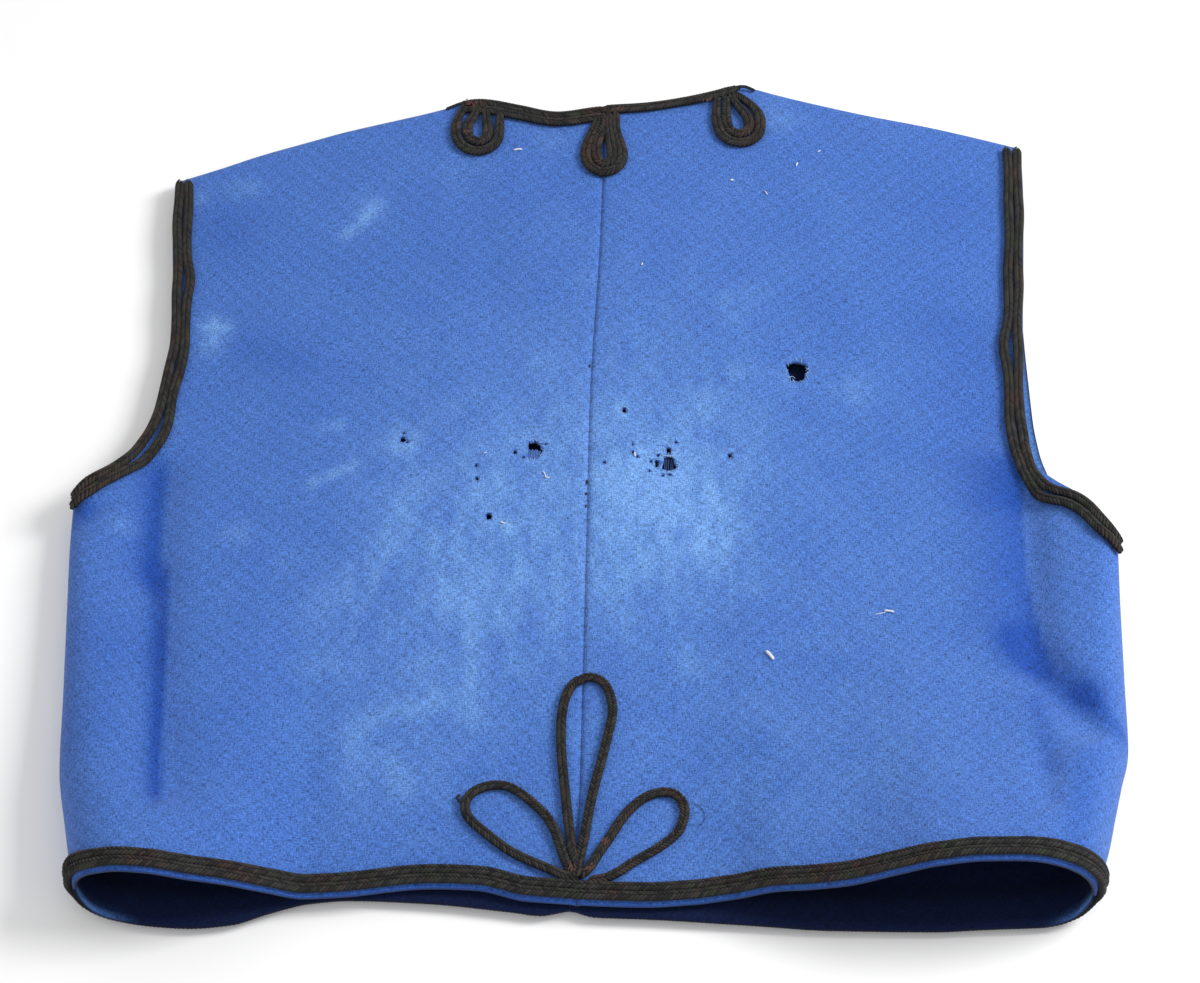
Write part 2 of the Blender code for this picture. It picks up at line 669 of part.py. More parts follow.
def loop_route(loop, inset):
    """Plan route and widths of one cord of a neck loop, inset from the loop's outline."""
    tight = LOOP_ROOT_BRAID / LOOP_BRAID
    radius = loop.belly_half - LOOP_BRAID / 2 - inset
    half = loop.root_half - LOOP_ROOT_BRAID / 2 - inset * tight
    turn = np.radians(np.linspace(*LOOP_ARC, LOOP_STEPS))
    arc = np.stack((loop.belly_x + radius * np.cos(turn), loop.belly_y + radius * np.sin(turn)), 1)
    ends = []
    for side in (LEFT, RIGHT):
        x = loop.root_x + side * half
        is_left_band = x < BACK_CENTRE[-1].x
        band = NECK_BAND_LEFT if is_left_band else NECK_BAND_RIGHT
        ends.append((x, float(follow(BACK_NECK, "x", "y", np.array(x))) - band))
    route = np.concatenate(([ends[0]], [(arc[0] + ends[0]) / 2], arc,
                            [(arc[-1] + ends[1]) / 2], [ends[1]]))
    ends_widths = [LOOP_ROOT_BRAID] * 2
    return route, ends_widths + [LOOP_BRAID] * len(arc) + ends_widths


def build_hem_braids(grids, material, collection):
    """Build the two rows round the hem, which stop a little short of the front edges."""
    pitch = HEM_BRAID + SEAM_GAP
    for number, row in enumerate(("outer", "inner")):
        inset = HEM_MARGIN + HEM_BRAID / 2 + number * pitch
        route, facings = [], []
        for name, is_outward in (("front_left", True), ("back_left", False),
                                 ("back_right", True), ("front_right", False)):
            points, normals = (np.swapaxes(grid, 0, 1) for grid in grids[name])
            steps, ways = inset_route(points, normals, inset)
            if not is_outward:
                steps, ways = steps[::-1], ways[::-1]
            route += steps[1:] if route else steps
            facings += ways[1:] if facings else ways
        route[0] = route[0] + (route[1] - route[0]) * HEM_END_SHARE
        route[-1] = route[-1] + (route[-2] - route[-1]) * HEM_END_SHARE
        widths = [HEM_BRAID] * len(route)
        build_braid(f"hem_braid_{row}", route, facings, widths, material, collection)


def build_armhole_braids(grids, material, collection):
    """Build the two rows along each of the back's armholes."""
    first = len(LOWER_ROWS) - 1
    for side_name, parting in PARTINGS.items():
        points, normals = (grid[first:-3, ::-1] for grid in grids[f"back_{side_name}"])
        spread = np.exp(-((points[:, 0, 1] - parting.y) / parting.length) ** 2) * parting.gap
        for number, row in enumerate(("outer", "inner")):
            pitch = (EDGE_BRAID + ROW_GAP + spread) * number
            inset = EDGE_MARGIN + EDGE_BRAID / 2 + pitch
            route, facings = inset_route(points, normals, inset)
            build_braid(f"{side_name}_armhole_braid_{row}", route, facings,
                        [EDGE_BRAID] * len(route), material, collection, lift=ROLL_LIFT)


def build_neck_braids(grids, material, collection):
    """Build the neck rows: both on top at the left, one of them over the edge at the right."""
    pitch = EDGE_BRAID + SEAM_GAP
    inset = EDGE_MARGIN + EDGE_BRAID / 2
    last = NECK_COLUMNS
    left = [np.swapaxes(grid[::-1, :last], 0, 1) for grid in grids["back_left"]]
    right = [np.swapaxes(grid[::-1, :last], 0, 1) for grid in grids["back_right"]]
    for row, (points, normals), distance in (("left_upper", left, inset),
                                             ("left_lower", left, inset + pitch),
                                             ("right_lower", right, inset)):
        route, facings = inset_route(points[:-1], normals[:-1], distance)
        build_braid(f"neck_braid_{row}", route, facings, [EDGE_BRAID] * len(route),
                    material, collection)
    points, normals = right
    route = points[:-1, 0] - normals[:-1, 0] * OVER_EDGE
    facings = [(-slope, 1.0, 0.0) for slope in np.gradient(route[:, 1], route[:, 0])]
    build_braid("neck_braid_right_upper", route, facings, [EDGE_BRAID] * len(route),
                material, collection)


def build_loops(material, collection):
    """Build the three double loops that hang from the neck braid."""
    for loop in LOOPS:
        for row, inset in (("outer", 0.0), ("inner", LOOP_BRAID + LOOP_ROW_GAP)):
            route, widths = loop_route(loop, inset)
            points, facings = plan_route(route)
            build_braid(f"{loop.name}_loop_{row}", points, facings, widths, material, collection)


def build_trefoil(material, collection):
    """Build the three petals over the hem and the short root between them."""
    for petal in PETALS:
        points, facings = plan_route(smooth_route(petal.route, PETAL_SPACING))
        build_braid(f"{petal.name}_petal", points, facings, [PETAL_BRAID] * len(points),
                    material, collection)
    points, facings = plan_route(TREFOIL_ROOT)
    build_braid("trefoil_root", points, facings, [PETAL_BRAID] * len(points), material,
                collection)


def cut_holes(parts, cutters):
    """Cut the moth holes through the back with ragged prisms."""
    corners = HOLE_CORNERS
    turns = np.linspace(0.0, 2 * np.pi, corners, endpoint=False)
    for hole in HOLES:
        ragged = 1 + sum(wave.height * np.sin(wave.turns * turns + hole.phase)
                         for wave in RAGGED_EDGE)
        x = hole.x + hole.wide / 2 * ragged * np.cos(turns)
        y = hole.y + hole.long / 2 * ragged * np.sin(turns)
        low = np.stack((x, y, np.full(corners, BODY_HEIGHT - HOLE_DEPTH)), axis=1)
        high = np.stack((x, y, np.full(corners, BODY_HEIGHT + HOLE_DEPTH)), axis=1)
        faces = [tuple(range(corners))[::-1], tuple(range(corners, 2 * corners))]
        for k in range(corners):
            n = (k + 1) % corners
            faces.append((k, n, corners + n, corners + k))
        material = make_material(f"cutter_{hole.name}", BRAID_BLACK, BRAID_ROUGHNESS)
        cutter = make_mesh_object(f"cutter_{hole.name}", np.concatenate((low, high)), faces,
                                  material, cutters)
        cutter.hide_render = True
        cutter.display_type = "WIRE"
        target = parts.objects["back_right" if hole.side == RIGHT else "back_left"]
        cut = target.modifiers.new(f"hole_{hole.name}", "BOOLEAN")
        cut.operation = "DIFFERENCE"
        cut.solver = "EXACT"
        cut.object = cutter


def main():
    """Build the vest."""
    for thing in list(bpy.data.objects):
        bpy.data.objects.remove(thing)
    parts = bpy.data.collections.new("folk_vest")
    cutters = bpy.data.collections.new("cutters")
    bpy.context.scene.collection.children.link(parts)
    bpy.context.scene.collection.children.link(cutters)
    braid = make_material("black_braid", BRAID_BLACK, BRAID_ROUGHNESS)
    grids = {}
    for side, side_name in ((LEFT, "left"), (RIGHT, "right")):
        for is_back, part_name, colour in ((True, "back", CLOTH_BLUE),
                                           (False, "front", LINING_NAVY)):
            name = f"{part_name}_{side_name}"
            panel = Panel(name, side, is_back, *make_panel_shares(side, is_back))
            cloth = make_material(f"{name}_wool", colour, CLOTH_ROUGHNESS)
            grids[name] = build_panel(panel, cloth, parts)
    build_hem_braids(grids, braid, parts)
    build_armhole_braids(grids, braid, parts)
    build_neck_braids(grids, braid, parts)
    build_loops(braid, parts)
    build_trefoil(braid, parts)
    cut_holes(parts, cutters)


main()
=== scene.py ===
"""Sleeveless folk vest of blue woollen cloth with black plaited cord, laid flat on its front.

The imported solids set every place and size. This script lays fine cloth and cord over them.
Sizes are millimetres on the vest's own axes: X to the right, Y from the hem to the neck and Z up
from the surface that the vest lies on. They become metres when a mesh is made.
"""

import logging
from collections.abc import Iterable, Sequence
from dataclasses import dataclass, field
from enum import Enum, IntEnum
from typing import Any, NamedTuple

import bpy
import numpy as np
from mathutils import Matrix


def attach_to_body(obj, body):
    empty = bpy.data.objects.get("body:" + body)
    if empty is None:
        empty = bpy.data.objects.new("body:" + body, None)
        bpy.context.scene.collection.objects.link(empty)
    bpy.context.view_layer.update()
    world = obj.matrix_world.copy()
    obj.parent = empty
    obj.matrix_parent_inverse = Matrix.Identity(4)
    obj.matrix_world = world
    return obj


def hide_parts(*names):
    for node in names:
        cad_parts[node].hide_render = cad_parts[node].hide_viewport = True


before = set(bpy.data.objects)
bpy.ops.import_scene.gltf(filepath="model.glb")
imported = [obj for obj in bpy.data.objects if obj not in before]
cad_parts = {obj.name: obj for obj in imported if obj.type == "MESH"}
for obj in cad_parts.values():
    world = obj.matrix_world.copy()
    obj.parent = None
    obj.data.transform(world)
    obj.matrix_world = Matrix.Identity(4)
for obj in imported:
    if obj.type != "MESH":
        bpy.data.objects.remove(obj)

LOG = logging.getLogger("folk_vest")
MM = 0.001
BODY = "root"
# Place on the vest's axes of the shared frame's origin
MIDDLE = np.array((-0.15, -0.95, 0.0))
# Share of a panel's length at which its side seam ends and its armhole begins
UNDERARM_SHARE = 0.45
# Step over which a panel's slope is read, and the last share that isn't on a seam
SHARE_STEP = 1e-6
LAST_SHARE = 1 - 1e-8
# Length of cloth that one unit of the thread directions stands for
UV_LENGTH = 100.0
Colour = tuple[float, float, float, float]


class Side(IntEnum):
    """Which half of the vest, as seen from above with the neck away from the viewer."""

    LEFT = -1
    RIGHT = 1


class Face(Enum):
    """Which way a panel's good side faces."""

    BACK = "back"
    FRONT = "front"


class Slot(str, Enum):
    """The finishes that the record names."""

    OUTER = "outer_cloth"
    INNER = "inner_cloth"
    BRAID = "braid"


class HemRow(NamedTuple):
    """A point of the back's hem, with how high the cloth stands behind it."""

    x: float
    y: float
    crown: float


class EdgeRow(NamedTuple):
    """A point of an edge in plan."""

    x: float
    y: float


class SideRow(NamedTuple):
    """A point of a side's outline, with the height of its seam."""

    y: float
    x: float
    seam: float


def rows(kind: Any, *values: tuple[Any, ...]) -> tuple[Any, ...]:
    """Rows of a table, each with the columns that its kind names."""
    return tuple(kind(*row) for row in values)


BACK_HEM = rows(HemRow, (-198.8, -219, 38), (-186, -222, 38), (-170, -223.2, 37),
    (-155, -223.3, 32.5), (-139, -222.5, 26.5), (-125, -220, 16.5), (-110, -218.6, 9.3), (-96, -217.6, 8.9),
    (-63, -214.2, 9.3), (-45, -215, 9.6), (-25, -219.5, 9), (22, -222, 8.9), (38, -221, 9),
    (53, -220.2, 11.5), (68, -221, 18.6), (84, -223, 24.2), (99, -224, 29.5), (114, -223.8, 36.2),
    (130, -224, 43.5), (146, -223.5, 46), (176, -223.5, 46.5), (191.6, -223, 46.5))
FRONT_HEM = rows(EdgeRow, (-198.8, -219), (-194, -222.5), (-186, -225), (-170, -228), (-155, -229),
    (-139, -227.5), (-125, -222.6), (-109, -218.1), (-94, -216.8), (-63, -218.2), (-32, -221.8),
    (-20, -223.4), (-9, -221.6), (0, -224), (22, -225), (61, -227.7), (91, -229.9), (130, -230.5),
    (153, -229.4), (172, -228.6), (184, -226.8), (191.6, -223))
SIDES = {
    Side.LEFT: rows(SideRow, (-219, -198.8, 16), (-192, -204.9, 14), (-165, -210.4, 12.5),
        (-128, -213.4, 11), (-84, -217, 10), (-45, -219.8, 10), (-28, -220.4, 10)),
    Side.RIGHT: rows(SideRow, (-223, 191.6, 18), (-203, 198.9, 17), (-189, 202.8, 16), (-174, 207, 15),
        (-157, 211.8, 13.5), (-123, 214.4, 12), (-76, 217.8, 11), (-52, 219.8, 11))}
BACK_ARMHOLES = {
    Side.LEFT: rows(EdgeRow, (-220.4, -28), (-214.8, -20.3), (-205.6, -10.8), (-197.4, 1),
        (-193, 12.5), (-190.6, 30), (-188, 60), (-189.7, 95), (-192.9, 132), (-194.8, 165.5)),
    Side.RIGHT: rows(EdgeRow, (219.8, -52), (215.5, -44.4), (211.4, -35.9), (205.6, -26), (196.8, -17),
        (190, -8), (187.4, 4), (187.9, 32), (192, 83), (195.5, 119), (198.8, 158), (200.2, 187.5))}
FRONT_ARMHOLES = {
    Side.LEFT: rows(EdgeRow, (-220.4, -28), (-212, -16.3), (-200, -4), (-191, 12), (-185, 45),
        (-187, 100), (-194.8, 165.5)),
    Side.RIGHT: rows(EdgeRow, (219.8, -52), (212.8, -32.8), (204.8, -19.6), (196.6, -8.5), (193, 7),
        (191.8, 26), (191.9, 56), (192.3, 80), (194, 120), (200.2, 187.5))}
SHOULDERS = {
    Side.LEFT: rows(EdgeRow, (-67.8, 215.2), (-83, 209.9), (-120, 197.2), (-157, 182.9),
        (-175, 173.9), (-194.8, 165.5)),
    Side.RIGHT: rows(EdgeRow, (73.8, 228.6), (89, 222.8), (126.6, 210.4), (164, 200), (200.2, 187.5))}
BACK_NECK = rows(EdgeRow, (-67.8, 215.2), (-54.5, 215.6), (-35.4, 212), (-16.3, 207.6), (2.7, 210.6),
    (22, 212.4), (41, 216.4), (60, 221.8), (73.8, 228.6))
FRONT_NECKS = {
    Side.LEFT: rows(EdgeRow, (-67.8, 215.2), (-63, 185), (-52, 145), (-33, 112), (-4, 92)),
    Side.RIGHT: rows(EdgeRow, (-4, 92), (34, 112), (55, 145), (68, 190), (73.8, 228.6))}
BACK_CENTRE = rows(EdgeRow, (-6.2, -220), (-3.2, -56), (-1.7, 31), (2.7, 126), (5.2, 208))
FRONT_CENTRE = rows(EdgeRow, (-9, -221.6), (-4, 92))


def follow(table: Sequence[Any], knot: str, value: str, at: Any) -> np.ndarray:
    """Read one column of a table against another, along a cubic that never overshoots.

    Args:
        table: Rows with named columns.
        knot: The column that is followed.
        value: The column that is read.
        at: Where to read it.

    Returns:
        The values at those places.
    """
    knots = np.array([getattr(row, knot) for row in table])
    values = np.array([getattr(row, value) for row in table])
    if knots[0] > knots[-1]:
        knots, values = knots[::-1], values[::-1]
    steps = np.diff(knots)
    grades = np.diff(values) / steps
    slopes = np.zeros(len(knots))
    product = grades[:-1] * grades[1:]
    level = np.where(product > 0, grades[:-1] + grades[1:], 1.0)
    slopes[1:-1] = np.where(product > 0, 2 * product / level, 0.0)
    slopes[0], slopes[-1] = grades[0], grades[-1]
    at = np.clip(at, knots[0], knots[-1])
    cell = np.clip(np.searchsorted(knots, at, side="right") - 1, 0, len(steps) - 1)
    u = (at - knots[cell]) / steps[cell]
    start = values[cell] * (1 + 2 * u) * (1 - u) ** 2
    end = values[cell + 1] * u * u * (3 - 2 * u)
    bend = slopes[cell] * u * (1 - u) ** 2 + slopes[cell + 1] * u * u * (u - 1)
    return start + end + bend * steps[cell]


def ease(share: np.ndarray) -> np.ndarray:
    """Turn a share from 0 to 1 into a soft step."""
    share = np.clip(share, 0.0, 1.0)
    return share * share * (3 - 2 * share)


def rolled(distance: np.ndarray, width: np.ndarray) -> np.ndarray:
    """Rise of a rolled edge: 0 at the outline, 1 at its width in from there."""
    return np.sqrt(1 - np.clip(1 - distance / width, 0.0, 1.0) ** 2)


def crowd(share: np.ndarray, looseness: float = 0.1) -> np.ndarray:
    """Shares from 0 to 1 that lie ever closer together towards 0."""
    return share * share * (1 + looseness) / (share + looseness)


def unit(vectors: np.ndarray) -> np.ndarray:
    """Vectors of length 1 that point the same way."""
    return vectors / np.maximum(np.linalg.norm(vectors, axis=-1, keepdims=True), 1e-12)


def run_of(points: np.ndarray, axis: int = 0) -> np.ndarray:
    """Distance along a line of points from its first one, or along each line of a grid."""
    gaps = np.linalg.norm(np.diff(points, axis=axis), axis=-1)
    return np.insert(np.cumsum(gaps, axis=axis), 0, 0.0, axis=axis)


def read_along(points: np.ndarray, values: np.ndarray, at: np.ndarray) -> np.ndarray:
    """Read values that belong to a line's points at distances along that line."""
    run = run_of(points)
    return np.stack([np.interp(at, run, column) for column in values.T], axis=1)


def away_from(route: Sequence[tuple[float, float]], x: np.ndarray, y: np.ndarray) -> np.ndarray:
    """Distance of plan points from a route of straight runs."""
    corners = np.array(route, dtype=float)
    nearest = np.full(np.shape(x), np.inf)
    for start, end in zip(corners[:-1], corners[1:]):
        run = end - start
        along = ((x - start[0]) * run[0] + (y - start[1]) * run[1]) / (run @ run)
        along = np.clip(along, 0.0, 1.0)
        nearest = np.minimum(nearest, np.hypot(x - start[0] - along * run[0],
                                               y - start[1] - along * run[1]))
    return nearest


def curve_through(route: Sequence[Sequence[float]], spacing: float) -> np.ndarray:
    """Evenly spaced points of a smooth curve through a route's own points.

    Args:
        route: Points given, in two or three dimensions.
        spacing: Distance between the points returned, about.

    Returns:
        The points, first and last ones included.
    """
    knots = np.array(route, dtype=float)
    padded = np.concatenate((2 * knots[:1] - knots[1:2], knots, 2 * knots[-1:] - knots[-2:-1]))
    fine = []
    for a, b, c, d in zip(padded[:-3], padded[1:-2], padded[2:-1], padded[3:]):
        for u in np.linspace(0.0, 1.0, 10, endpoint=False):
            fine.append(0.5 * (2 * b + (c - a) * u + (2 * a - 5 * b + 4 * c - d) * u * u
                               + (3 * b - a - 3 * c + d) * u ** 3))
    fine = np.array(fine + [knots[-1]])
    length = run_of(fine)[-1]
    count = max(int(round(length / spacing)), 2) + 1
    return read_along(fine, fine, np.linspace(0.0, length, count))


def tube_faces(rings: int, sides: int) -> list[list[int]]:
    """Faces of a tube of rings of points, closed at both ends.

    Args:
        rings: How many rings it has.
        sides: How many points each ring has.

    Returns:
        Point numbers of each face.
    """
    numbers = np.arange(rings * sides).reshape(rings, sides)
    after = np.roll(numbers, -1, axis=1)
    faces = np.stack((after[:-1], numbers[:-1], numbers[1:], after[1:]), -1).reshape(-1, 4)
    return faces.tolist() + [numbers[0].tolist(), numbers[-1, ::-1].tolist()]


class Mark(NamedTuple):
    """A ridge or trough of some height, or a smear of another shade, along a route on the back."""

    width: float
    strength: float
    route: tuple[tuple[float, float], ...]

    def at(self, x: np.ndarray, y: np.ndarray) -> np.ndarray:
        """Height or share that it adds at plan points."""
        return self.strength * np.exp(-(away_from(self.route, x, y) / self.width) ** 2)


class Ripple(NamedTuple):
    """A long low wave in the cloth."""

    length: float
    heading: float
    height: float
    phase: float


@dataclass(frozen=True)
class Lay:
    """How the vest lies: the heights of its back and fronts over the surface."""

    body_height: float = 7.6
    hem_reach: float = 92.0
    hem_fade_power: float = 1.3
    side_swell: float = 8.0
    swell_width: float = 34.0
    swell_fade: float = 70.0
    back_roll: float = 1.2
    front_roll: float = 1.05
    least_rise: float = 3.4
    shoulder_seam: float = 3.5
    shoulder_roll: float = 4.6
    braid_bed: float = 3.6
    bed_length: float = 10.5
    bed_ramp: float = 12.0
    seam_dip: float = 0.75
    seam_dip_width: float = 1.1
    edge_calm: float = 26.0
    folds: tuple[Mark, ...] = rows(Mark, (11, -5, ((-186, -12), (-184, -60), (-180, -100),
        (-173, -142), (-166, -178))), (9, -5.5, ((183, -30), (180, -80), (179, -95), (181, -121),
        (189, -138), (197, -152))), (6, -2.5, ((176, -166), (174, -190))), (6, -1.6, ((-217, -46),
        (-213, -37), (-206, -32))))
    creases: tuple[Mark, ...] = rows(Mark, (9, -0.55, ((-60, 170), (-48, 120), (-40, 60),
        (-30, 15))), (7, 0.35, ((16, 150), (12, 60), (9, -40))), (12, -0.5, ((78, 168), (96, 110),
        (92, 60))), (8, -0.6, ((-178, 40), (-140, 22), (-96, 18))), (8, -0.6, ((178, 20), (140, 0),
        (104, -18))), (10, 0.5, ((-120, -60), (-104, -120), (-98, -190))), (10, 0.5, ((62, -70),
        (56, -130), (52, -196))), (9, -0.4, ((-120, -52), (-60, -64), (-8, -60), (58, -52),
        (128, -62))))
    ripples: tuple[Ripple, ...] = rows(Ripple, (61, 18, 0.16, 0.4), (43, 77, 0.13, 2.1),
        (34, 131, 0.11, 4), (26, 52, 0.07, 1.2), (19, 101, 0.05, 5.1))

    def inside(self, side: Side, x: np.ndarray, y: np.ndarray) -> np.ndarray:
        """Distance of plan points in from their side's outline, carried past the underarm."""
        return np.maximum(side * (follow(SIDES[side], "y", "x", y) - x), 0.0)

    def below_shoulder(self, side: Side, x: np.ndarray, y: np.ndarray) -> np.ndarray:
        """Distance of plan points in from their shoulder line or that line's neck end."""
        corner = SHOULDERS[side][0]
        line = follow(SHOULDERS[side], "x", "y", x)
        return np.hypot(np.maximum(line - y, 0.0), np.maximum(side * (corner.x - x), 0.0))

    def relief(self, side: Side, x: np.ndarray, y: np.ndarray) -> np.ndarray:
        """Small unevenness of the back that the solids leave out.

        Args:
            side: The half that the points lie on.
            x: Plan places across.
            y: Plan places along.

        Returns:
            Height over the solids' smooth face.
        """
        waves = sum(wave.height * np.sin(
            2 * np.pi * (x * np.cos(np.radians(wave.heading)) + y * np.sin(np.radians(wave.heading)))
            / wave.length + wave.phase) for wave in self.ripples)
        small = sum(crease.at(x, y) for crease in self.creases) + waves
        calm = ease(self.inside(side, x, y) / self.edge_calm)
        calm = calm * ease((y - follow(BACK_HEM, "x", "y", x)) / self.edge_calm)
        from_seam = np.abs(x - follow(BACK_CENTRE, "y", "x", y))
        return small * calm - self.seam_dip * np.exp(-(from_seam / self.seam_dip_width) ** 2)

    def back(self, side: Side, x: np.ndarray, y: np.ndarray) -> np.ndarray:
        """Height of the back's outer face.

        Args:
            side: The half that the points lie on.
            x: Plan places across.
            y: Plan places along.

        Returns:
            Height over the surface that the vest lies on.
        """
        from_hem = np.maximum(y - follow(BACK_HEM, "x", "y", x), 0.0)
        fade = np.exp(-(from_hem / self.hem_reach) ** self.hem_fade_power)
        underarm = SIDES[side][-1].y
        near_side = np.exp(-(self.inside(side, x, y) / self.swell_width) ** 2)
        swell = self.side_swell * near_side * (1 - fade)
        swell = swell * ease((underarm + self.swell_fade - y) / self.swell_fade)
        crown = self.body_height + swell + sum(fold.at(x, y) for fold in self.folds)
        crown = crown + (follow(BACK_HEM, "x", "crown", x) - self.body_height) * fade
        seam = follow(SIDES[side], "y", "seam", y)
        rise = crown - seam
        width = self.back_roll * np.maximum(rise, self.least_rise)
        level = seam + rise * rolled(self.inside(side, x, y), width) + self.relief(side, x, y)
        drop = rolled(self.below_shoulder(side, x, y), self.shoulder_roll)
        return self.shoulder_seam + (level - self.shoulder_seam) * drop

    def front(self, side: Side, x: np.ndarray, y: np.ndarray) -> np.ndarray:
        """Height of a front's outer face, which lies on the surface.

        Args:
            side: The half that the points lie on.
            x: Plan places across.
            y: Plan places along.

        Returns:
            Height over the surface.
        """
        seam = follow(SIDES[side], "y", "seam", y)
        from_hem = y - follow(FRONT_HEM, "x", "y", x)
        bed = self.braid_bed * ease(1 - (from_hem - self.bed_length) / self.bed_ramp)
        side_roll = rolled(self.inside(side, x, y), self.front_roll * seam)
        low = seam + (bed - seam) * side_roll
        shoulder = rolled(self.below_shoulder(side, x, y), self.shoulder_roll)
        return self.shoulder_seam + (low - self.shoulder_seam) * shoulder


def put_in_scene(name: str, data: Any) -> bpy.types.Object:
    """Make an object from its data and link it to the scene."""
    item = bpy.data.objects.new(name, data)
    bpy.context.scene.collection.objects.link(item)
    return item


def make_piece(name: str, points: np.ndarray, faces: Iterable[Sequence[int]],
               finish: bpy.types.Material) -> bpy.types.Object:
    """Make a smooth mesh object from millimetre points.

    Args:
        name: The piece's name.
        points: Its points on the vest's axes.
        faces: Point numbers of each face, anticlockwise from outside.
        finish: Its material.

    Returns:
        The object, linked to the scene.
    """
    mesh = bpy.data.meshes.new(name)
    mesh.from_pydata(((points - MIDDLE) * MM).tolist(), [], faces)
    mesh.shade_smooth()
    mesh.materials.append(finish)
    return put_in_scene(name, mesh)


def tag(mesh: bpy.types.Mesh, name: str, values: np.ndarray) -> None:
    """Store a number or a direction for each point of a mesh under a name."""
    kind, key = ("FLOAT_VECTOR", "vector") if values.ndim > 1 else ("FLOAT", "value")
    attribute = mesh.attributes.new(name, kind, "POINT")
    attribute.data.foreach_set(key, np.asarray(values, dtype=np.float32).ravel())


def settle(piece: bpy.types.Object) -> None:
    """Turn what a piece's modifiers make into its own mesh, and remove them."""
    bpy.context.view_layer.update()
    graph = bpy.context.evaluated_depsgraph_get()
    made = bpy.data.meshes.new_from_object(piece.evaluated_get(graph))
    piece.modifiers.clear()
    piece.data = made


def attach(piece: bpy.types.Object, slot: Slot, *nodes: str) -> None:
    """Let a piece stand for its nodes and ride on the vest."""
    if nodes:
        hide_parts(*nodes)
    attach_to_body(piece, BODY)


class Nodes:
    """A tree of nodes, written as plain steps."""

    def __init__(self, tree: bpy.types.NodeTree) -> None:
        """Start with a tree."""
        self.tree = tree

    def put(self, socket: bpy.types.NodeSocket, value: Any) -> None:
        """Link a socket to another one, or set its value."""
        if isinstance(value, bpy.types.NodeSocket):
            self.tree.links.new(value, socket)
        else:
            socket.default_value = value

    def add(self, kind: str, inputs: dict[str | int, Any], **settings: Any) -> bpy.types.Node:
        """Add a node.

        Args:
            kind: Its type.
            inputs: Values or sockets for its own sockets.
            settings: Its other settings.

        Returns:
            The node.
        """
        node = self.tree.nodes.new(kind)
        for name, value in settings.items():
            setattr(node, name, value)
        for socket, value in inputs.items():
            self.put(node.inputs[socket], value)
        return node

    def math(self, operation: str, *values: Any) -> bpy.types.NodeSocket:
        """Result of a sum on one to three numbers."""
        return self.add("ShaderNodeMath", dict(enumerate(values)), operation=operation).outputs[0]

    def scale(self, vector: Any, factor: Any) -> bpy.types.NodeSocket:
        """A vector or a colour times a number."""
        inputs = {0: vector, "Scale": factor}
        return self.add("ShaderNodeVectorMath", inputs, operation="SCALE").outputs[0]


class Recipe(Nodes):
    """A material's nodes."""

    def __init__(self, name: str) -> None:
        """Start from a Principled shader and places on the object."""
        self.material = bpy.data.materials.new(name)
        self.material.use_nodes = True
        super().__init__(self.material.node_tree)
        self.shader = self.tree.nodes["Principled BSDF"]
        self.place = self.add("ShaderNodeTexCoord", {}).outputs["Object"]

    def noise(self, vector: bpy.types.NodeSocket, scale: Any, detail: float = 2.0
              ) -> bpy.types.NodeSocket:
        """Soft noise about 0.5, with one scale or one for each axis."""
        if isinstance(scale, tuple):
            stretched = self.add("ShaderNodeMapping", {"Vector": vector, "Scale": scale})
            vector, scale = stretched.outputs[0], 1.0
        inputs = {"Vector": vector, "Scale": scale, "Detail": detail}
        return self.add("ShaderNodeTexNoise", inputs).outputs[0]

    def over(self, base: Any, value: bpy.types.NodeSocket, factor: float) -> bpy.types.NodeSocket:
        """A base plus a value times a factor."""
        return self.math("MULTIPLY_ADD", value, factor, base)

    def share(self, value: bpy.types.NodeSocket, low: float = 0.0, high: float = 1.0
              ) -> bpy.types.NodeSocket:
        """Share from 0 to 1 of the way from a low value to a high one."""
        inputs = {"Value": value, "From Min": low, "From Max": high}
        return self.add("ShaderNodeMapRange", inputs).outputs[0]

    def blend(self, share: Any, low: Any, high: Any) -> bpy.types.NodeSocket:
        """Mix of two colours."""
        return self.add("ShaderNodeMix", {0: share, 6: low, 7: high}, data_type="RGBA").outputs[2]

    def attribute(self, name: str) -> bpy.types.NodeSocket:
        """A number that the piece's points hold."""
        return self.add("ShaderNodeAttribute", {}, attribute_name=name).outputs["Fac"]

    def raise_by(self, height: bpy.types.NodeSocket, distance: float, strength: float) -> None:
        """Give the shader a bump."""
        inputs = {"Height": height, "Distance": distance, "Strength": strength}
        self.put(self.shader.inputs["Normal"], self.add("ShaderNodeBump", inputs).outputs[0])

    def finished(self, colour: bpy.types.NodeSocket, values: dict[str, float]
                 ) -> bpy.types.Material:
        """Give the shader its colour and its own plain values."""
        self.put(self.shader.inputs["Base Color"], colour)
        for name, value in values.items():
            self.shader.inputs[name].default_value = value
        return self.material


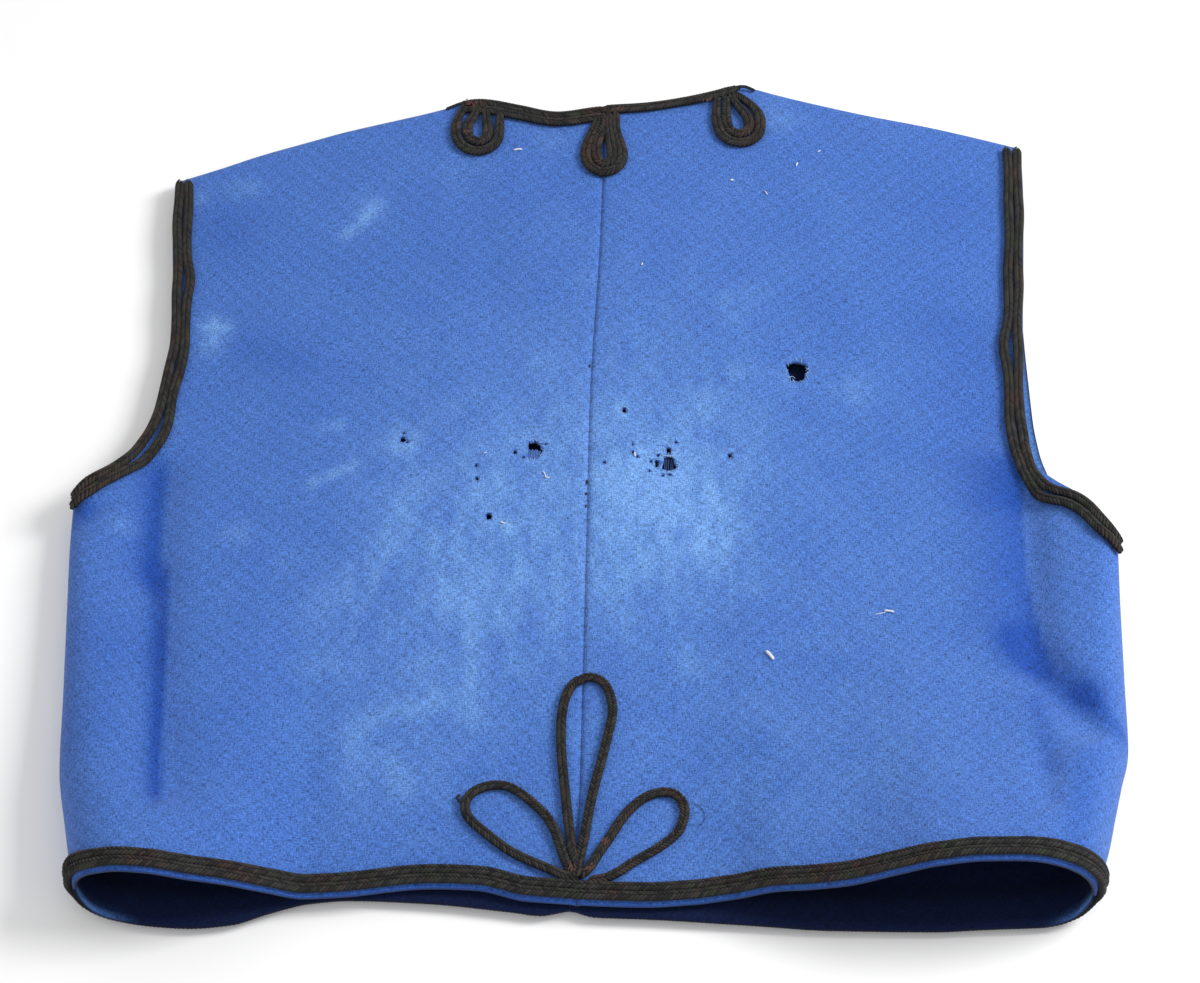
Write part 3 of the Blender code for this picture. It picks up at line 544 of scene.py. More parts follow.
@dataclass(frozen=True)
class WoolFinish:
    """Matt woollen plain weave, faded in patches.

    Args:
        name: The material's name.
        cloth: Colour of sound cloth, linear.
        faded: Colour where the cloth has faded.
        other: Colour of a turned edge or of the other side.
        deep: Share of the cloth's red, green and blue that is left where shade is painted into it.
        pitch: Length over which the weave's soft light and dark repeat, in millimetres.
        wander_scale: Of the noise that bends the weave.
        bends: How far it bends the two sets of threads, in radians.
        fleck_scales: Of the uneven threads, along and across them.
        streak_scales: Of what breaks up the faded patches, across and along the vest.
        mottle_scale: Of the soft mottle.
        streaked: How strongly streaks break up a faded patch.
        mottled: How strongly mottle does.
        even_mottle: How strongly mottle shows in sound cloth.
        weave_light: How much lighter and darker the weave makes the cloth.
        fleck_light: The same for the uneven threads.
    """

    name: str
    cloth: Colour
    faded: Colour
    other: Colour
    deep: tuple[float, float, float] = (0.20, 0.42, 0.70)
    pitch: float = 9.5
    fleck_scales: tuple[float, float] = (55.0, 190.0)
    streak_scales: tuple[float, float] = (170.0, 60.0)
    wander_scale: float = 5.0
    bends: tuple[float, float] = (9.0, 7.0)
    mottle_scale: float = 48.0
    streaked: float = 2.2
    mottled: float = 1.3
    even_mottle: float = 0.26
    weave_light: float = 0.07
    fleck_light: float = 1.5
    roughness: float = 0.95
    sheen: float = 0.1
    relief: float = 0.00022

    def make(self) -> bpy.types.Material:
        """Make the material."""
        recipe = Recipe(self.name)
        math, noise, over = recipe.math, recipe.noise, recipe.over
        uv = recipe.add("ShaderNodeUVMap", {}, uv_map="UVMap").outputs[0]
        wander = noise(uv, self.wander_scale)
        thread = recipe.add("ShaderNodeSeparateXYZ", {0: uv}).outputs
        turns = 2 * np.pi * UV_LENGTH / self.pitch
        warp = over(math("MULTIPLY", wander, self.bends[0]), thread[0], turns)
        weft = over(math("MULTIPLY", wander, self.bends[1]), thread[1], turns)
        weave = math("MULTIPLY", math("SINE", warp), math("SINE", weft))
        fleck = over(-1.0, math("ADD", noise(uv, (*self.fleck_scales, 1.0), 1.0),
                                noise(uv, (*self.fleck_scales[::-1], 1.0), 1.0)), 1.0)
        mottle = over(-0.5, noise(recipe.place, self.mottle_scale, 5.0), 1.0)
        streaks = noise(recipe.place, (*self.streak_scales, 1.0), 4.0)
        patchy = over(over(1 - self.streaked / 2, streaks, self.streaked), mottle, self.mottled)
        worn = over(math("MULTIPLY", recipe.attribute("fade"), patchy), mottle, self.even_mottle)
        colour = recipe.blend(recipe.share(worn), self.cloth, self.faded)
        deeper = recipe.add("ShaderNodeVectorMath", {0: colour, 1: self.deep},
                            operation="MULTIPLY").outputs[0]
        # Painted shade: the cloth is darkened where the back's folds and the hem's cords would shade it.
        colour = recipe.blend(recipe.attribute("grime"), colour, deeper)
        colour = recipe.blend(recipe.attribute("other"), colour, self.other)
        light = over(over(1.0, weave, self.weave_light), fleck, self.fleck_light)
        height = over(over(math("MULTIPLY", weave, 0.5), fleck, 1.1), noise(uv, 42.0, 3.0), 0.5)
        recipe.raise_by(height, self.relief, 0.9)
        return recipe.finished(recipe.scale(colour, light), {
            "Roughness": self.roughness, "Sheen Weight": self.sheen, "Sheen Roughness": 0.5,
            "Specular IOR Level": 0.15})


@dataclass(frozen=True)
class CordFinish:
    """Black plaited wool, with the tints that age gives it."""

    name: str
    dark: Colour = (0.004, 0.004, 0.006, 1.0)
    light: Colour = (0.034, 0.033, 0.030, 1.0)
    brown: Colour = (0.050, 0.030, 0.022, 1.0)
    olive: Colour = (0.030, 0.036, 0.022, 1.0)
    roughness: float = 0.85
    sheen: float = 0.03
    relief: float = 0.00012

    def make(self) -> bpy.types.Material:
        """Make the material."""
        recipe = Recipe(self.name)
        fibre = recipe.noise(recipe.place, 2600.0)
        tone = recipe.over(recipe.attribute("tone"), recipe.over(-0.5, fibre, 1.0), 1.3)
        browned = recipe.share(recipe.noise(recipe.place, 55.0, 3.0), 0.46, 0.64)
        greened = recipe.share(recipe.noise(recipe.place, 130.0), 0.54, 0.66)
        high = recipe.blend(greened, recipe.blend(browned, self.light, self.brown), self.olive)
        recipe.raise_by(fibre, self.relief, 0.8)
        return recipe.finished(recipe.blend(recipe.share(tone), self.dark, high), {
            "Roughness": self.roughness, "Sheen Weight": self.sheen, "Specular IOR Level": 0.25})


@dataclass(frozen=True)
class PlainFinish:
    """One colour with a little noise: a loose thread, a bit of lint or the floor.

    Args:
        name: The material's name.
        colour: Its colour.
        grain: Scale of the noise.
        spread: How far the noise goes, as a share of the colour.
        roughness: Of the surface.
    """

    name: str
    colour: Colour
    grain: float = 1500.0
    spread: float = 0.5
    roughness: float = 0.9

    def make(self) -> bpy.types.Material:
        """Make the material."""
        recipe = Recipe(self.name)
        light = recipe.over(1 - self.spread / 2, recipe.noise(recipe.place, self.grain), self.spread)
        base = recipe.add("ShaderNodeRGB", {}).outputs[0]
        base.default_value = self.colour
        return recipe.finished(recipe.scale(base, light), {"Roughness": self.roughness})


@dataclass(frozen=True)
class Pattern:
    """The edges of one panel as it lies.

    Args:
        side: Which half it is.
        face: Which way it faces.
        hem: Its hem, from side to side.
        middle: Its centre edge, from the hem up.
        neck: Its neck edge.
        armhole: Its armhole, from the underarm up.
    """

    side: Side
    face: Face
    hem: tuple[Any, ...]
    middle: tuple[EdgeRow, ...]
    neck: tuple[EdgeRow, ...]
    armhole: tuple[EdgeRow, ...]


def pattern_of(side: Side, face: Face) -> Pattern:
    """The pattern of one of the four panels."""
    if face == Face.BACK:
        return Pattern(side, face, BACK_HEM, BACK_CENTRE, BACK_NECK, BACK_ARMHOLES[side])
    return Pattern(side, face, FRONT_HEM, FRONT_CENTRE, FRONT_NECKS[side], FRONT_ARMHOLES[side])


class Patch(NamedTuple):
    """A soft round patch of another shade."""

    x: float
    y: float
    radius: float
    strength: float

    def at(self, x: np.ndarray, y: np.ndarray) -> np.ndarray:
        """Its share at plan points."""
        return self.strength * np.exp(-((x - self.x) ** 2 + (y - self.y) ** 2) / self.radius ** 2)


@dataclass(frozen=True)
class Shade:
    """A dark band beside a fold, with its own width to the left and to the right.

    Args:
        left: Its width to the left of the route.
        right: Its width to the right of the route.
        strength: Its share on the route.
        route: The plan points that it follows, from the neck's end to the hem's.
        soft: Length over which it begins and ends.
    """

    left: float
    right: float
    strength: float
    route: tuple[EdgeRow, ...]
    soft: float = 16.0

    def at(self, x: np.ndarray, y: np.ndarray) -> np.ndarray:
        """Its share at plan points."""
        off = x - follow(self.route, "y", "x", y)
        high, low = self.route[0].y, self.route[-1].y
        ends = ease((high - y) / self.soft) * ease((y - low) / self.soft)
        return self.strength * ends * np.exp(-(off / np.where(off < 0, self.left, self.right)) ** 2)


@dataclass(frozen=True)
class Wear:
    """Where the back has faded, and where shade is painted into its colour."""

    # Painted shadow line under the hem's cords: its strength and its width.
    hem_line: float = 0.75
    hem_line_width: float = 1.6
    pale: tuple[Patch | Mark, ...] = (rows(Patch, (-6, -8, 78, 0.2), (26, -28, 36, 0.34),
        (-24, -38, 44, 0.24), (-62, -88, 56, 0.2), (30, -72, 22, 0.16), (10, 70, 80, 0.08),
        (110, -60, 80, 0.09), (70, -170, 70, 0.12), (-80, -150, 44, 0.14), (-2, 24, 34, 0.12),
        (60, 10, 40, 0.1), (-84, 4, 26, 0.1), (-103, 146, 9, 0.3), (-169, 73, 8, 0.4),
        (-162, 157, 8, 0.3), (-183, 152, 5, 0.3), (-170, 62, 7, 0.2), (-185, 20, 7, 0.25),
        (-83, 8, 7, 0.5), (-20, -12, 4, 0.3), (-37, -38, 4, 0.5), (112, 37, 11, 0.26),
        (62, -72, 6, 0.2), (39, -106, 8, 0.2), (-150, -44, 7, 0.22), (72, 94, 8, 0.16),
        (-25.5, 3.5, 8, 0.3), (31, -2, 10, 0.35), (89.6, 48.2, 8, 0.2), (17.5, 0.5, 4, 0.4),
        (13.3, 25.4, 3.5, 0.5), (-196, -42, 6, 0.25), (124, -160, 18, 0.12), (-44.3, -32.9, 4, 0.35),
        (58.7, 0.2, 3, 0.4), (-60, 176, 14, 0.14), (-20, 190, 10, 0.12), (90, 205, 12, 0.2))
        + rows(Mark, (14, 0.26, ((14, -8), (26, -24), (44, -44))), (9, 0.2, ((46, -10), (54, -52))),
        (8, 0.24, ((-76, -18), (-86, -39), (-95, -55), (-104, -70), (-113, -85))),
        (3, 0.16, ((-70, -22), (-90, -62), (-100, -92))), (10, 0.22, ((-42, -14), (-52, -28),
        (-61, -42), (-66, -60))), (13, 0.22, ((-63, -72), (-45, -79), (-31, -68))),
        (6, 0.26, ((-53, -82), (-49, -106), (-50, -136))), (4, 0.18, ((-66, -92), (-68, -120))),
        (4, 0.16, ((-36, -84), (-34, -112))), (4, 0.14, ((-16, -60), (-15, -104))),
        (4, 0.14, ((12, -62), (14, -96))), (6, 0.28, ((-64, -127), (-77, -131), (-89, -137),
        (-94, -148), (-96, -164))), (7, 0.16, ((-100, -112), (-112, -110))), (6, 0.2, ((-84, -150),
        (-76, -168))), (3.4, 0.4, ((-101, 149), (-106, 141), (-113, 130))), (1.6, 0.35, ((-176, 74),
        (-162, 73))), (1.6, 0.35, ((-170, 80), (-169, 64))), (3.5, 0.35, ((-111, 17), (-117, 16))),
        (3, 0.42, ((-104, -5), (-119, -15))), (9, 0.26, ((64, 46), (50, 32), (41, 20))),
        (5, 0.2, ((60, 90), (62, 76)))))
    # Painted shade: dark bands beside the folds of the side rolls and the right underarm, and soft darker
    # patches.
    shaded: tuple[Patch | Mark | Shade, ...] = (rows(Shade, (9, 2.6, 0.95, rows(EdgeRow, (-185, 4),
        (-184, -39), (-183, -60), (-180, -80))), (5, 3.4, 0.75, rows(EdgeRow, (-182, -52), (-178, -97),
        (-175, -134), (-172, -160), (-168, -196))), (2.2, 1.2, 0.45, rows(EdgeRow, (-178, -50),
        (-174.5, -110), (-171.5, -160), (-168, -190))), (22, 1.2, 0.74, rows(EdgeRow, (186, 8),
        (182, -20), (180, -60), (181, -90), (185, -128))), (30, 8, 0.22, rows(EdgeRow, (180, 90),
        (178, 30), (176, -40))))
        + rows(Mark, (10, 0.75, ((173, -104), (184, -122), (195, -134))), (4.5, 0.6, ((195, -134),
        (202, -146), (209, -154))), (4, 0.4, ((176, -138), (177, -156), (178, -174))),
        (7, 0.35, ((192, -170), (186, -196), (182, -214))), (10, 0.26, ((-156, 62), (-132, 52))))
        + rows(Patch, (-170, 132, 20, 0.3), (-60, 110, 26, 0.1), (164, 150, 26, 0.18),
        (156, 83, 18, 0.12), (-215, -36, 7, 0.9), (-196, -110, 20, 0.25), (-205, -150, 20, 0.2),
        (-140, -150, 30, 0.12), (-30, 150, 40, 0.08), (70, -150, 6, 0.1)))

    def fade(self, x: np.ndarray, y: np.ndarray) -> np.ndarray:
        """Share of fading at plan points."""
        return sum(mark.at(x, y) for mark in self.pale)

    def shade(self, x: np.ndarray, y: np.ndarray) -> np.ndarray:
        """Share of painted shade at plan points, with a thin painted shadow line under the hem's cords."""
        from_hem = np.maximum(y - follow(BACK_HEM, "x", "y", x), 0.0)
        line = self.hem_line * np.exp(-(from_hem / self.hem_line_width) ** 2)
        return np.minimum(sum(mark.at(x, y) for mark in self.shaded) + line, 1.0)


@dataclass
class ClothPanel:
    """One panel of the vest: a thin wall of woollen cloth.

    Args:
        pattern: Its edges.
        lay: How it lies.
        grid: Columns at the neck and at the shoulder, and rows below and above the underarm.
        thickness: Of the cloth.
        seam_gap: Between sewn panels.
        rim_bulge: How far a cut edge is rounded, as a share of the thickness.
        turn_up: Width of the paler edge inside the fronts' hems.
        turn_up_from: Distance from the middle at which that edge begins to show; nearer the middle it is
            painted navy, as shade inside the hem openings.
        turn_up_fade: Length over which it begins.
        bare_edge: From where to where the fronts' paler edge shows inside the armhole.
        bare_fades: Lengths over which that edge begins and ends.
        hem_fade: Length over which a hem's edge changes to its face.
        rim_shade: How far the back's cut edge has the inner face's colour.
        inset_reach: Largest share of the panel at which a line's distance is looked for.
        least_sine: Least slant of the grid to an edge that such a line allows for.
        wear: The back's faded and shaded places.
    """

    pattern: Pattern
    lay: Lay
    grid: tuple[int, int, int, int]
    thickness: float = 1.7
    seam_gap: float = 0.06
    rim_bulge: float = 0.25
    turn_up: float = 3.6
    turn_up_from: float = 172.0
    turn_up_fade: float = 22.0
    bare_edge: tuple[float, float] = (0.3, 9.0)
    bare_fades: tuple[float, float] = (0.4, 3.0)
    hem_fade: float = 1.5
    rim_shade: float = 0.85
    inset_reach: float = 0.16
    least_sine: float = 0.3
    wear: Wear = field(default_factory=Wear)

    def __post_init__(self) -> None:
        """Work out its name, and where its middle, its neck and its shoulder end."""
        self.side = self.pattern.side
        self.is_back = self.pattern.face == Face.BACK
        self.node = f"{self.pattern.face.value}_{self.side.name.lower()}"
        self.outline, self.shoulder = SIDES[self.side], SHOULDERS[self.side]
        self.corner, self.tip = self.shoulder[0].x, self.shoulder[-1].x
        self.offset = self.side * self.seam_gap / 2
        self.low, self.high = (self.pattern.middle[end].x + self.offset for end in (0, -1))
        self.neck_share = (self.corner - self.high) / (self.tip - self.high)

    def hem_edge(self, f: np.ndarray) -> np.ndarray:
        """Plan points of the hem at shares f from the centre to the side."""
        x = self.low + (self.outline[0].x - self.low) * f
        return np.array((x, follow(self.pattern.hem, "x", "y", x)))

    def top_edge(self, f: np.ndarray) -> np.ndarray:
        """Plan points of the neck and shoulder at shares f from the centre to the side."""
        x = self.high + (self.tip - self.high) * f
        return np.array((x, np.where(self.side * (x - self.corner) >= 0,
                                     follow(self.shoulder, "x", "y", x),
                                     follow(self.pattern.neck, "x", "y", x))))

    def centre_edge(self, t: np.ndarray) -> np.ndarray:
        """Plan points of the centre edge at shares t from the hem to the top."""
        low, high = (edge(np.zeros(1))[1][0] for edge in (self.hem_edge, self.top_edge))
        y = low + (high - low) * t
        return np.array((follow(self.pattern.middle, "y", "x", y) + self.offset, y))

    def side_edge(self, t: np.ndarray) -> np.ndarray:
        """Plan points of the side seam and armhole at shares t from the hem to the top."""
        armhole = self.pattern.armhole
        lower = np.clip(t / UNDERARM_SHARE, 0.0, 1.0)
        upper = np.clip((t - UNDERARM_SHARE) / (1 - UNDERARM_SHARE), 0.0, 1.0)
        low = self.outline[0].y + (self.outline[-1].y - self.outline[0].y) * lower
        high = armhole[0].y + (armhole[-1].y - armhole[0].y) * upper
        return np.where(t > UNDERARM_SHARE, (follow(armhole, "y", "x", high), high),
                        (follow(self.outline, "y", "x", low), low))

    def surface(self, f: np.ndarray, t: np.ndarray) -> np.ndarray:
        """Outer face of the panel.

        Args:
            f: Shares of the width, from the centre.
            t: Shares of the length, from the hem.

        Returns:
            Points on the vest's axes.
        """
        zero, one = np.zeros_like(f), np.ones_like(f)
        corners = ((1 - f) * (1 - t) * self.hem_edge(zero) + f * (1 - t) * self.hem_edge(one)
                   + (1 - f) * t * self.top_edge(zero) + f * t * self.top_edge(one))
        x, y = ((1 - t) * self.hem_edge(f) + t * self.top_edge(f)
                + (1 - f) * self.centre_edge(t) + f * self.side_edge(t) - corners)
        z = (self.lay.back if self.is_back else self.lay.front)(self.side, x, y)
        lift = self.seam_gap / 2 * (1 if self.is_back else -1)
        is_neck = (t >= 1) & (self.side * (x - self.corner) < 0)
        on_seam = ((f >= 1) & (t <= UNDERARM_SHARE) | (t >= 1)) & ~is_neck
        return np.stack((x, y, z + np.where(on_seam, lift, 0.0)), axis=-1)

    def facing(self, f: np.ndarray, t: np.ndarray) -> np.ndarray:
        """Directions that the outer face looks in at shares f and t."""
        left, low = (np.maximum(share - SHARE_STEP, 0.0) for share in (f, t))
        right, high = (np.minimum(share + SHARE_STEP, LAST_SHARE) for share in (f, t))
        inner_f, inner_t = (np.minimum(share, 1 - SHARE_STEP) for share in (f, t))
        across = self.surface(right, inner_t) - self.surface(left, inner_t)
        along = self.surface(inner_f, high) - self.surface(inner_f, low)
        return unit(np.cross(across, along) * (self.side if self.is_back else -self.side))

    def shares(self) -> tuple[np.ndarray, np.ndarray]:
        """Shares of the width and of the length at which the grid's lines lie."""
        neck, shoulder, lower, upper = self.grid
        far = (1 - self.neck_share) * crowd(np.linspace(1.0, 0.0, shoulder + 1))
        high = (1 - UNDERARM_SHARE) * crowd(np.linspace(1.0, 0.0, upper + 1)[1:])
        return (np.append(np.linspace(0.0, self.neck_share, neck, endpoint=False), 1 - far),
                np.append(UNDERARM_SHARE * np.linspace(0.0, 1.0, lower + 1), 1 - high))

    def wall(self, points: np.ndarray, facings: np.ndarray, is_sewn: np.ndarray
             ) -> tuple[np.ndarray, list[list[int]]]:
        """Points and faces of the wall: outer grid, inner grid and a rounded rim.

        Args:
            points: Outer points, rows by columns.
            facings: Directions that they face.
            is_sewn: Whether a seam holds each point, so that the rim stays flat there.

        Returns:
            All points, and the faces.
        """
        numbers = np.arange(is_sewn.size).reshape(is_sewn.shape)
        quads = np.stack((numbers[:-1, :-1], numbers[:-1, 1:], numbers[1:, 1:],
                          numbers[1:, :-1]), axis=-1).reshape(-1, 4)
        rim = np.concatenate((numbers[0, :], numbers[1:, -1], numbers[-1, -2::-1],
                              numbers[-2:0:-1, 0]))
        steps = np.concatenate((numbers[1, :], numbers[1:-1, -2], numbers[-2, ::-1],
                                numbers[-2:0:-1, 1]))
        flat, under = (grid.reshape(-1, 3) for grid in (points, points - facings * self.thickness))
        bulge = np.where(is_sewn.ravel()[rim], 0.0, self.rim_bulge * self.thickness)[:, None]
        middle = (flat[rim] + under[rim]) / 2 + unit(flat[rim] - flat[steps]) * bulge
        ring = 2 * numbers.size + np.arange(len(rim))
        after, low = np.roll(np.arange(len(rim)), -1), rim + numbers.size
        faces = np.concatenate((quads, quads[:, ::-1] + numbers.size,
                                np.stack((rim[after], rim, ring, ring[after]), axis=-1),
                                np.stack((ring[after], ring, low, low[after]), axis=-1)))
        if (self.side == Side.RIGHT) != self.is_back:
            faces = faces[:, ::-1]
        return np.concatenate((flat, under, middle)), faces.tolist()

    def build(self, finish: bpy.types.Material) -> bpy.types.Object:
        """Build the panel, and measure its cloth.

        Args:
            finish: Its cloth.

        Returns:
            The piece.
        """
        f, t = np.meshgrid(*self.shares())
        points = self.surface(f, t)
        is_sewn = (f == 0) | (f == 1) & (t <= UNDERARM_SHARE) | (t == 1) & (f >= self.neck_share)
        vertices, faces = self.wall(points, self.facing(f, t), is_sewn)
        piece = make_piece(f"{self.node}_cloth", vertices, faces, finish)
        across, along = run_of(points, 1), run_of(points, 0)
        self.dress(piece.data, vertices, across, along, t > UNDERARM_SHARE)
        self.flat = (float(across[t[:, 0] <= UNDERARM_SHARE].max()) * MM, float(along.max()) * MM)
        one, two = points[1:, 1:] - points[:-1, :-1], points[1:, :-1] - points[:-1, 1:]
        self.area = float(np.linalg.norm(np.cross(one, two), axis=-1).sum()) / 2 * MM * MM
        return piece

    def dress(self, mesh: bpy.types.Mesh, vertices: np.ndarray, across: np.ndarray,
              along: np.ndarray, is_high: np.ndarray) -> None:
        """Give the wall its thread directions and the shares of its shades.

        Args:
            mesh: The panel's mesh.
            vertices: All of its points.
            across: Distances of the outer points from the centre edge, along the cloth.
            along: Their distances from the hem.
            is_high: Whether they lie above the underarm.
        """
        count = across.size
        extra = len(vertices) - 2 * count
        lengths = np.stack((across, along), axis=-1).reshape(-1, 2)
        uv = np.concatenate((lengths, lengths, np.zeros((extra, 2)))) / UV_LENGTH
        corners = np.zeros(len(mesh.loops), dtype=np.int32)
        mesh.loops.foreach_get("vertex_index", corners)
        mesh.uv_layers.new(name="UVMap").data.foreach_set("uv", uv[corners].ravel())
        x, y = vertices[:count, 0], vertices[:count, 1]
        if self.is_back:
            # The back's outer face holds its faded share and its painted shade.
            outer = {"fade": self.wear.fade(x, y), "grime": self.wear.shade(x, y)}
            inner, rim = np.ones(count), self.rim_shade
        else:
            to_side = across[:, -1:] - across
            bare = (ease((to_side - self.bare_edge[0]) / self.bare_fades[0])
                    * ease((self.bare_edge[1] - to_side) / self.bare_fades[1]))
            turned = ease((self.turn_up - lengths[:, 1]) / self.hem_fade)
            # Painted shade: the paler edge shows only near the sides, where light gets into the hem
            # openings; nearer the middle it keeps the lining's navy.
            turned = turned * ease((self.side * x - self.turn_up_from) / self.turn_up_fade)
            outer = {"other": ease((lengths[:, 1] - self.hem_fade) / self.hem_fade)}
            inner, rim = np.maximum(turned, np.where(is_high, bare, 0.0).ravel()), 0.0
        hidden = {"other": (inner, np.full(extra, rim))}
        blank = np.zeros(count), np.zeros(extra)
        for name in ("fade", "other", "grime"):
            parts = (outer.get(name, blank[0]), *hidden.get(name, blank))
            tag(mesh, name, np.concatenate(parts))

    def inset(self, edge: str, distance: float, shares: np.ndarray
              ) -> tuple[np.ndarray, np.ndarray]:
        """Line on the panel at a distance in from its hem or its top.

        Args:
            edge: "hem" or "top".
            distance: How far in.
            shares: Shares along the edge at which to read it.

        Returns:
            The line's points, and the directions that the cloth faces there.
        """
        reach = crowd(np.linspace(0.0, 1.0, 60), 0.2) * self.inset_reach
        f, t = (grid.T for grid in np.meshgrid(shares, reach if edge == "hem" else 1 - reach))
        points, facings = self.surface(f, t), self.facing(f, t)
        line, ways = [], []
        for row, looks, tangent in zip(points, facings, np.gradient(points[:, 0], axis=0)):
            sine = np.linalg.norm(np.cross(unit(tangent), unit(row[3] - row[0])))
            at = np.array((distance / max(sine, self.least_sine),))
            line.append(read_along(row, row, at)[0])
            ways.append(read_along(row, looks, at)[0])
        return np.array(line), unit(np.array(ways))


class PlaitTree(Nodes):
    """Geometry nodes that lay the strands of a plait over a cord's core."""

    def __init__(self, slant: float = 38.0, segments: int = 8, rings: int = 5) -> None:
        """Build the tree.

        Args:
            slant: Angle of a strand to the cord's run, in degrees.
            segments: Faces round a strand.
            rings: Faces along a strand.
        """
        super().__init__(bpy.data.node_groups.new("plait", "GeometryNodeTree"))
        for name, kind in (("Geometry", "Geometry"), ("Slant", "Float"),
                           ("Strand Size", "Vector"), ("Finish", "Material")):
            self.tree.interface.new_socket(name, in_out="INPUT", socket_type=f"NodeSocket{kind}")
        self.tree.interface.new_socket("Geometry", in_out="OUTPUT",
                                       socket_type="NodeSocketGeometry")
        self.slant = slant
        start = self.tree.nodes.new("NodeGroupInput").outputs
        split = self.add("GeometryNodeSeparateGeometry",
                         {"Geometry": start["Geometry"], "Selection": self.named("is_strand")},
                         domain="POINT")
        ball = self.add("GeometryNodeMeshUVSphere",
                        {"Segments": segments, "Rings": rings, "Radius": 1.0})
        base = self.add("FunctionNodeAxesToRotation",
                        {"Primary Axis": self.named("upward", "FLOAT_VECTOR"),
                         "Secondary Axis": self.named("onward", "FLOAT_VECTOR")},
                        primary_axis="Z", secondary_axis="X")
        angle = self.math("MULTIPLY", start["Slant"], self.named("hand"))
        turn = self.add("FunctionNodeAxisAngleToRotation",
                        {"Axis": (0.0, 0.0, 1.0), "Angle": angle})
        turned = self.add("FunctionNodeRotateRotation",
                          {"Rotation": base.outputs[0], "Rotate By": turn.outputs[0]},
                          rotation_space="LOCAL")
        strands = self.add("GeometryNodeInstanceOnPoints",
                           {"Points": split.outputs[0], "Instance": ball.outputs["Mesh"],
                            "Rotation": turned.outputs[0],
                            "Scale": self.scale(start["Strand Size"], self.named("swell"))})
        tone = self.add("FunctionNodeRandomValue", {2: 0.12, 3: 0.95, "Seed": 11},
                        data_type="FLOAT")
        toned = self.add("GeometryNodeStoreNamedAttribute",
                         {"Geometry": strands.outputs[0], "Name": "tone",
                          "Value": tone.outputs[1]}, data_type="FLOAT", domain="INSTANCE")
        real = self.add("GeometryNodeRealizeInstances", {"Geometry": toned.outputs[0]})
        join = self.tree.nodes.new("GeometryNodeJoinGeometry")
        for part in (real.outputs[0], split.outputs[1]):
            self.tree.links.new(part, join.inputs[0])
        smooth = self.add("GeometryNodeSetShadeSmooth", {"Geometry": join.outputs[0]})
        finish = self.add("GeometryNodeSetMaterial",
                          {"Geometry": smooth.outputs[0], "Material": start["Finish"]})
        self.add("NodeGroupOutput", {0: finish.outputs[0]})

    def named(self, name: str, kind: str = "FLOAT") -> bpy.types.NodeSocket:
        """A value that the core's points hold."""
        return self.add("GeometryNodeInputNamedAttribute", {"Name": name},
                        data_type=kind).outputs[0]

    def lay_on(self, piece: bpy.types.Object, size: tuple[float, float, float],
               finish: bpy.types.Material) -> None:
        """Lay the strands over a core and make the result its mesh.

        Args:
            piece: The core, with a loose point for each strand.
            size: Half length, width and height of a strand, in metres.
            finish: The cord's material.
        """
        modifier = piece.modifiers.new("plait", "NODES")
        modifier.node_group = self.tree
        values = {"Slant": float(np.radians(self.slant)), "Strand Size": size, "Finish": finish}
        for item in self.tree.interface.items_tree:
            if item.in_out == "INPUT" and item.name in values:
                modifier[item.identifier] = values[item.name]
        settle(piece)


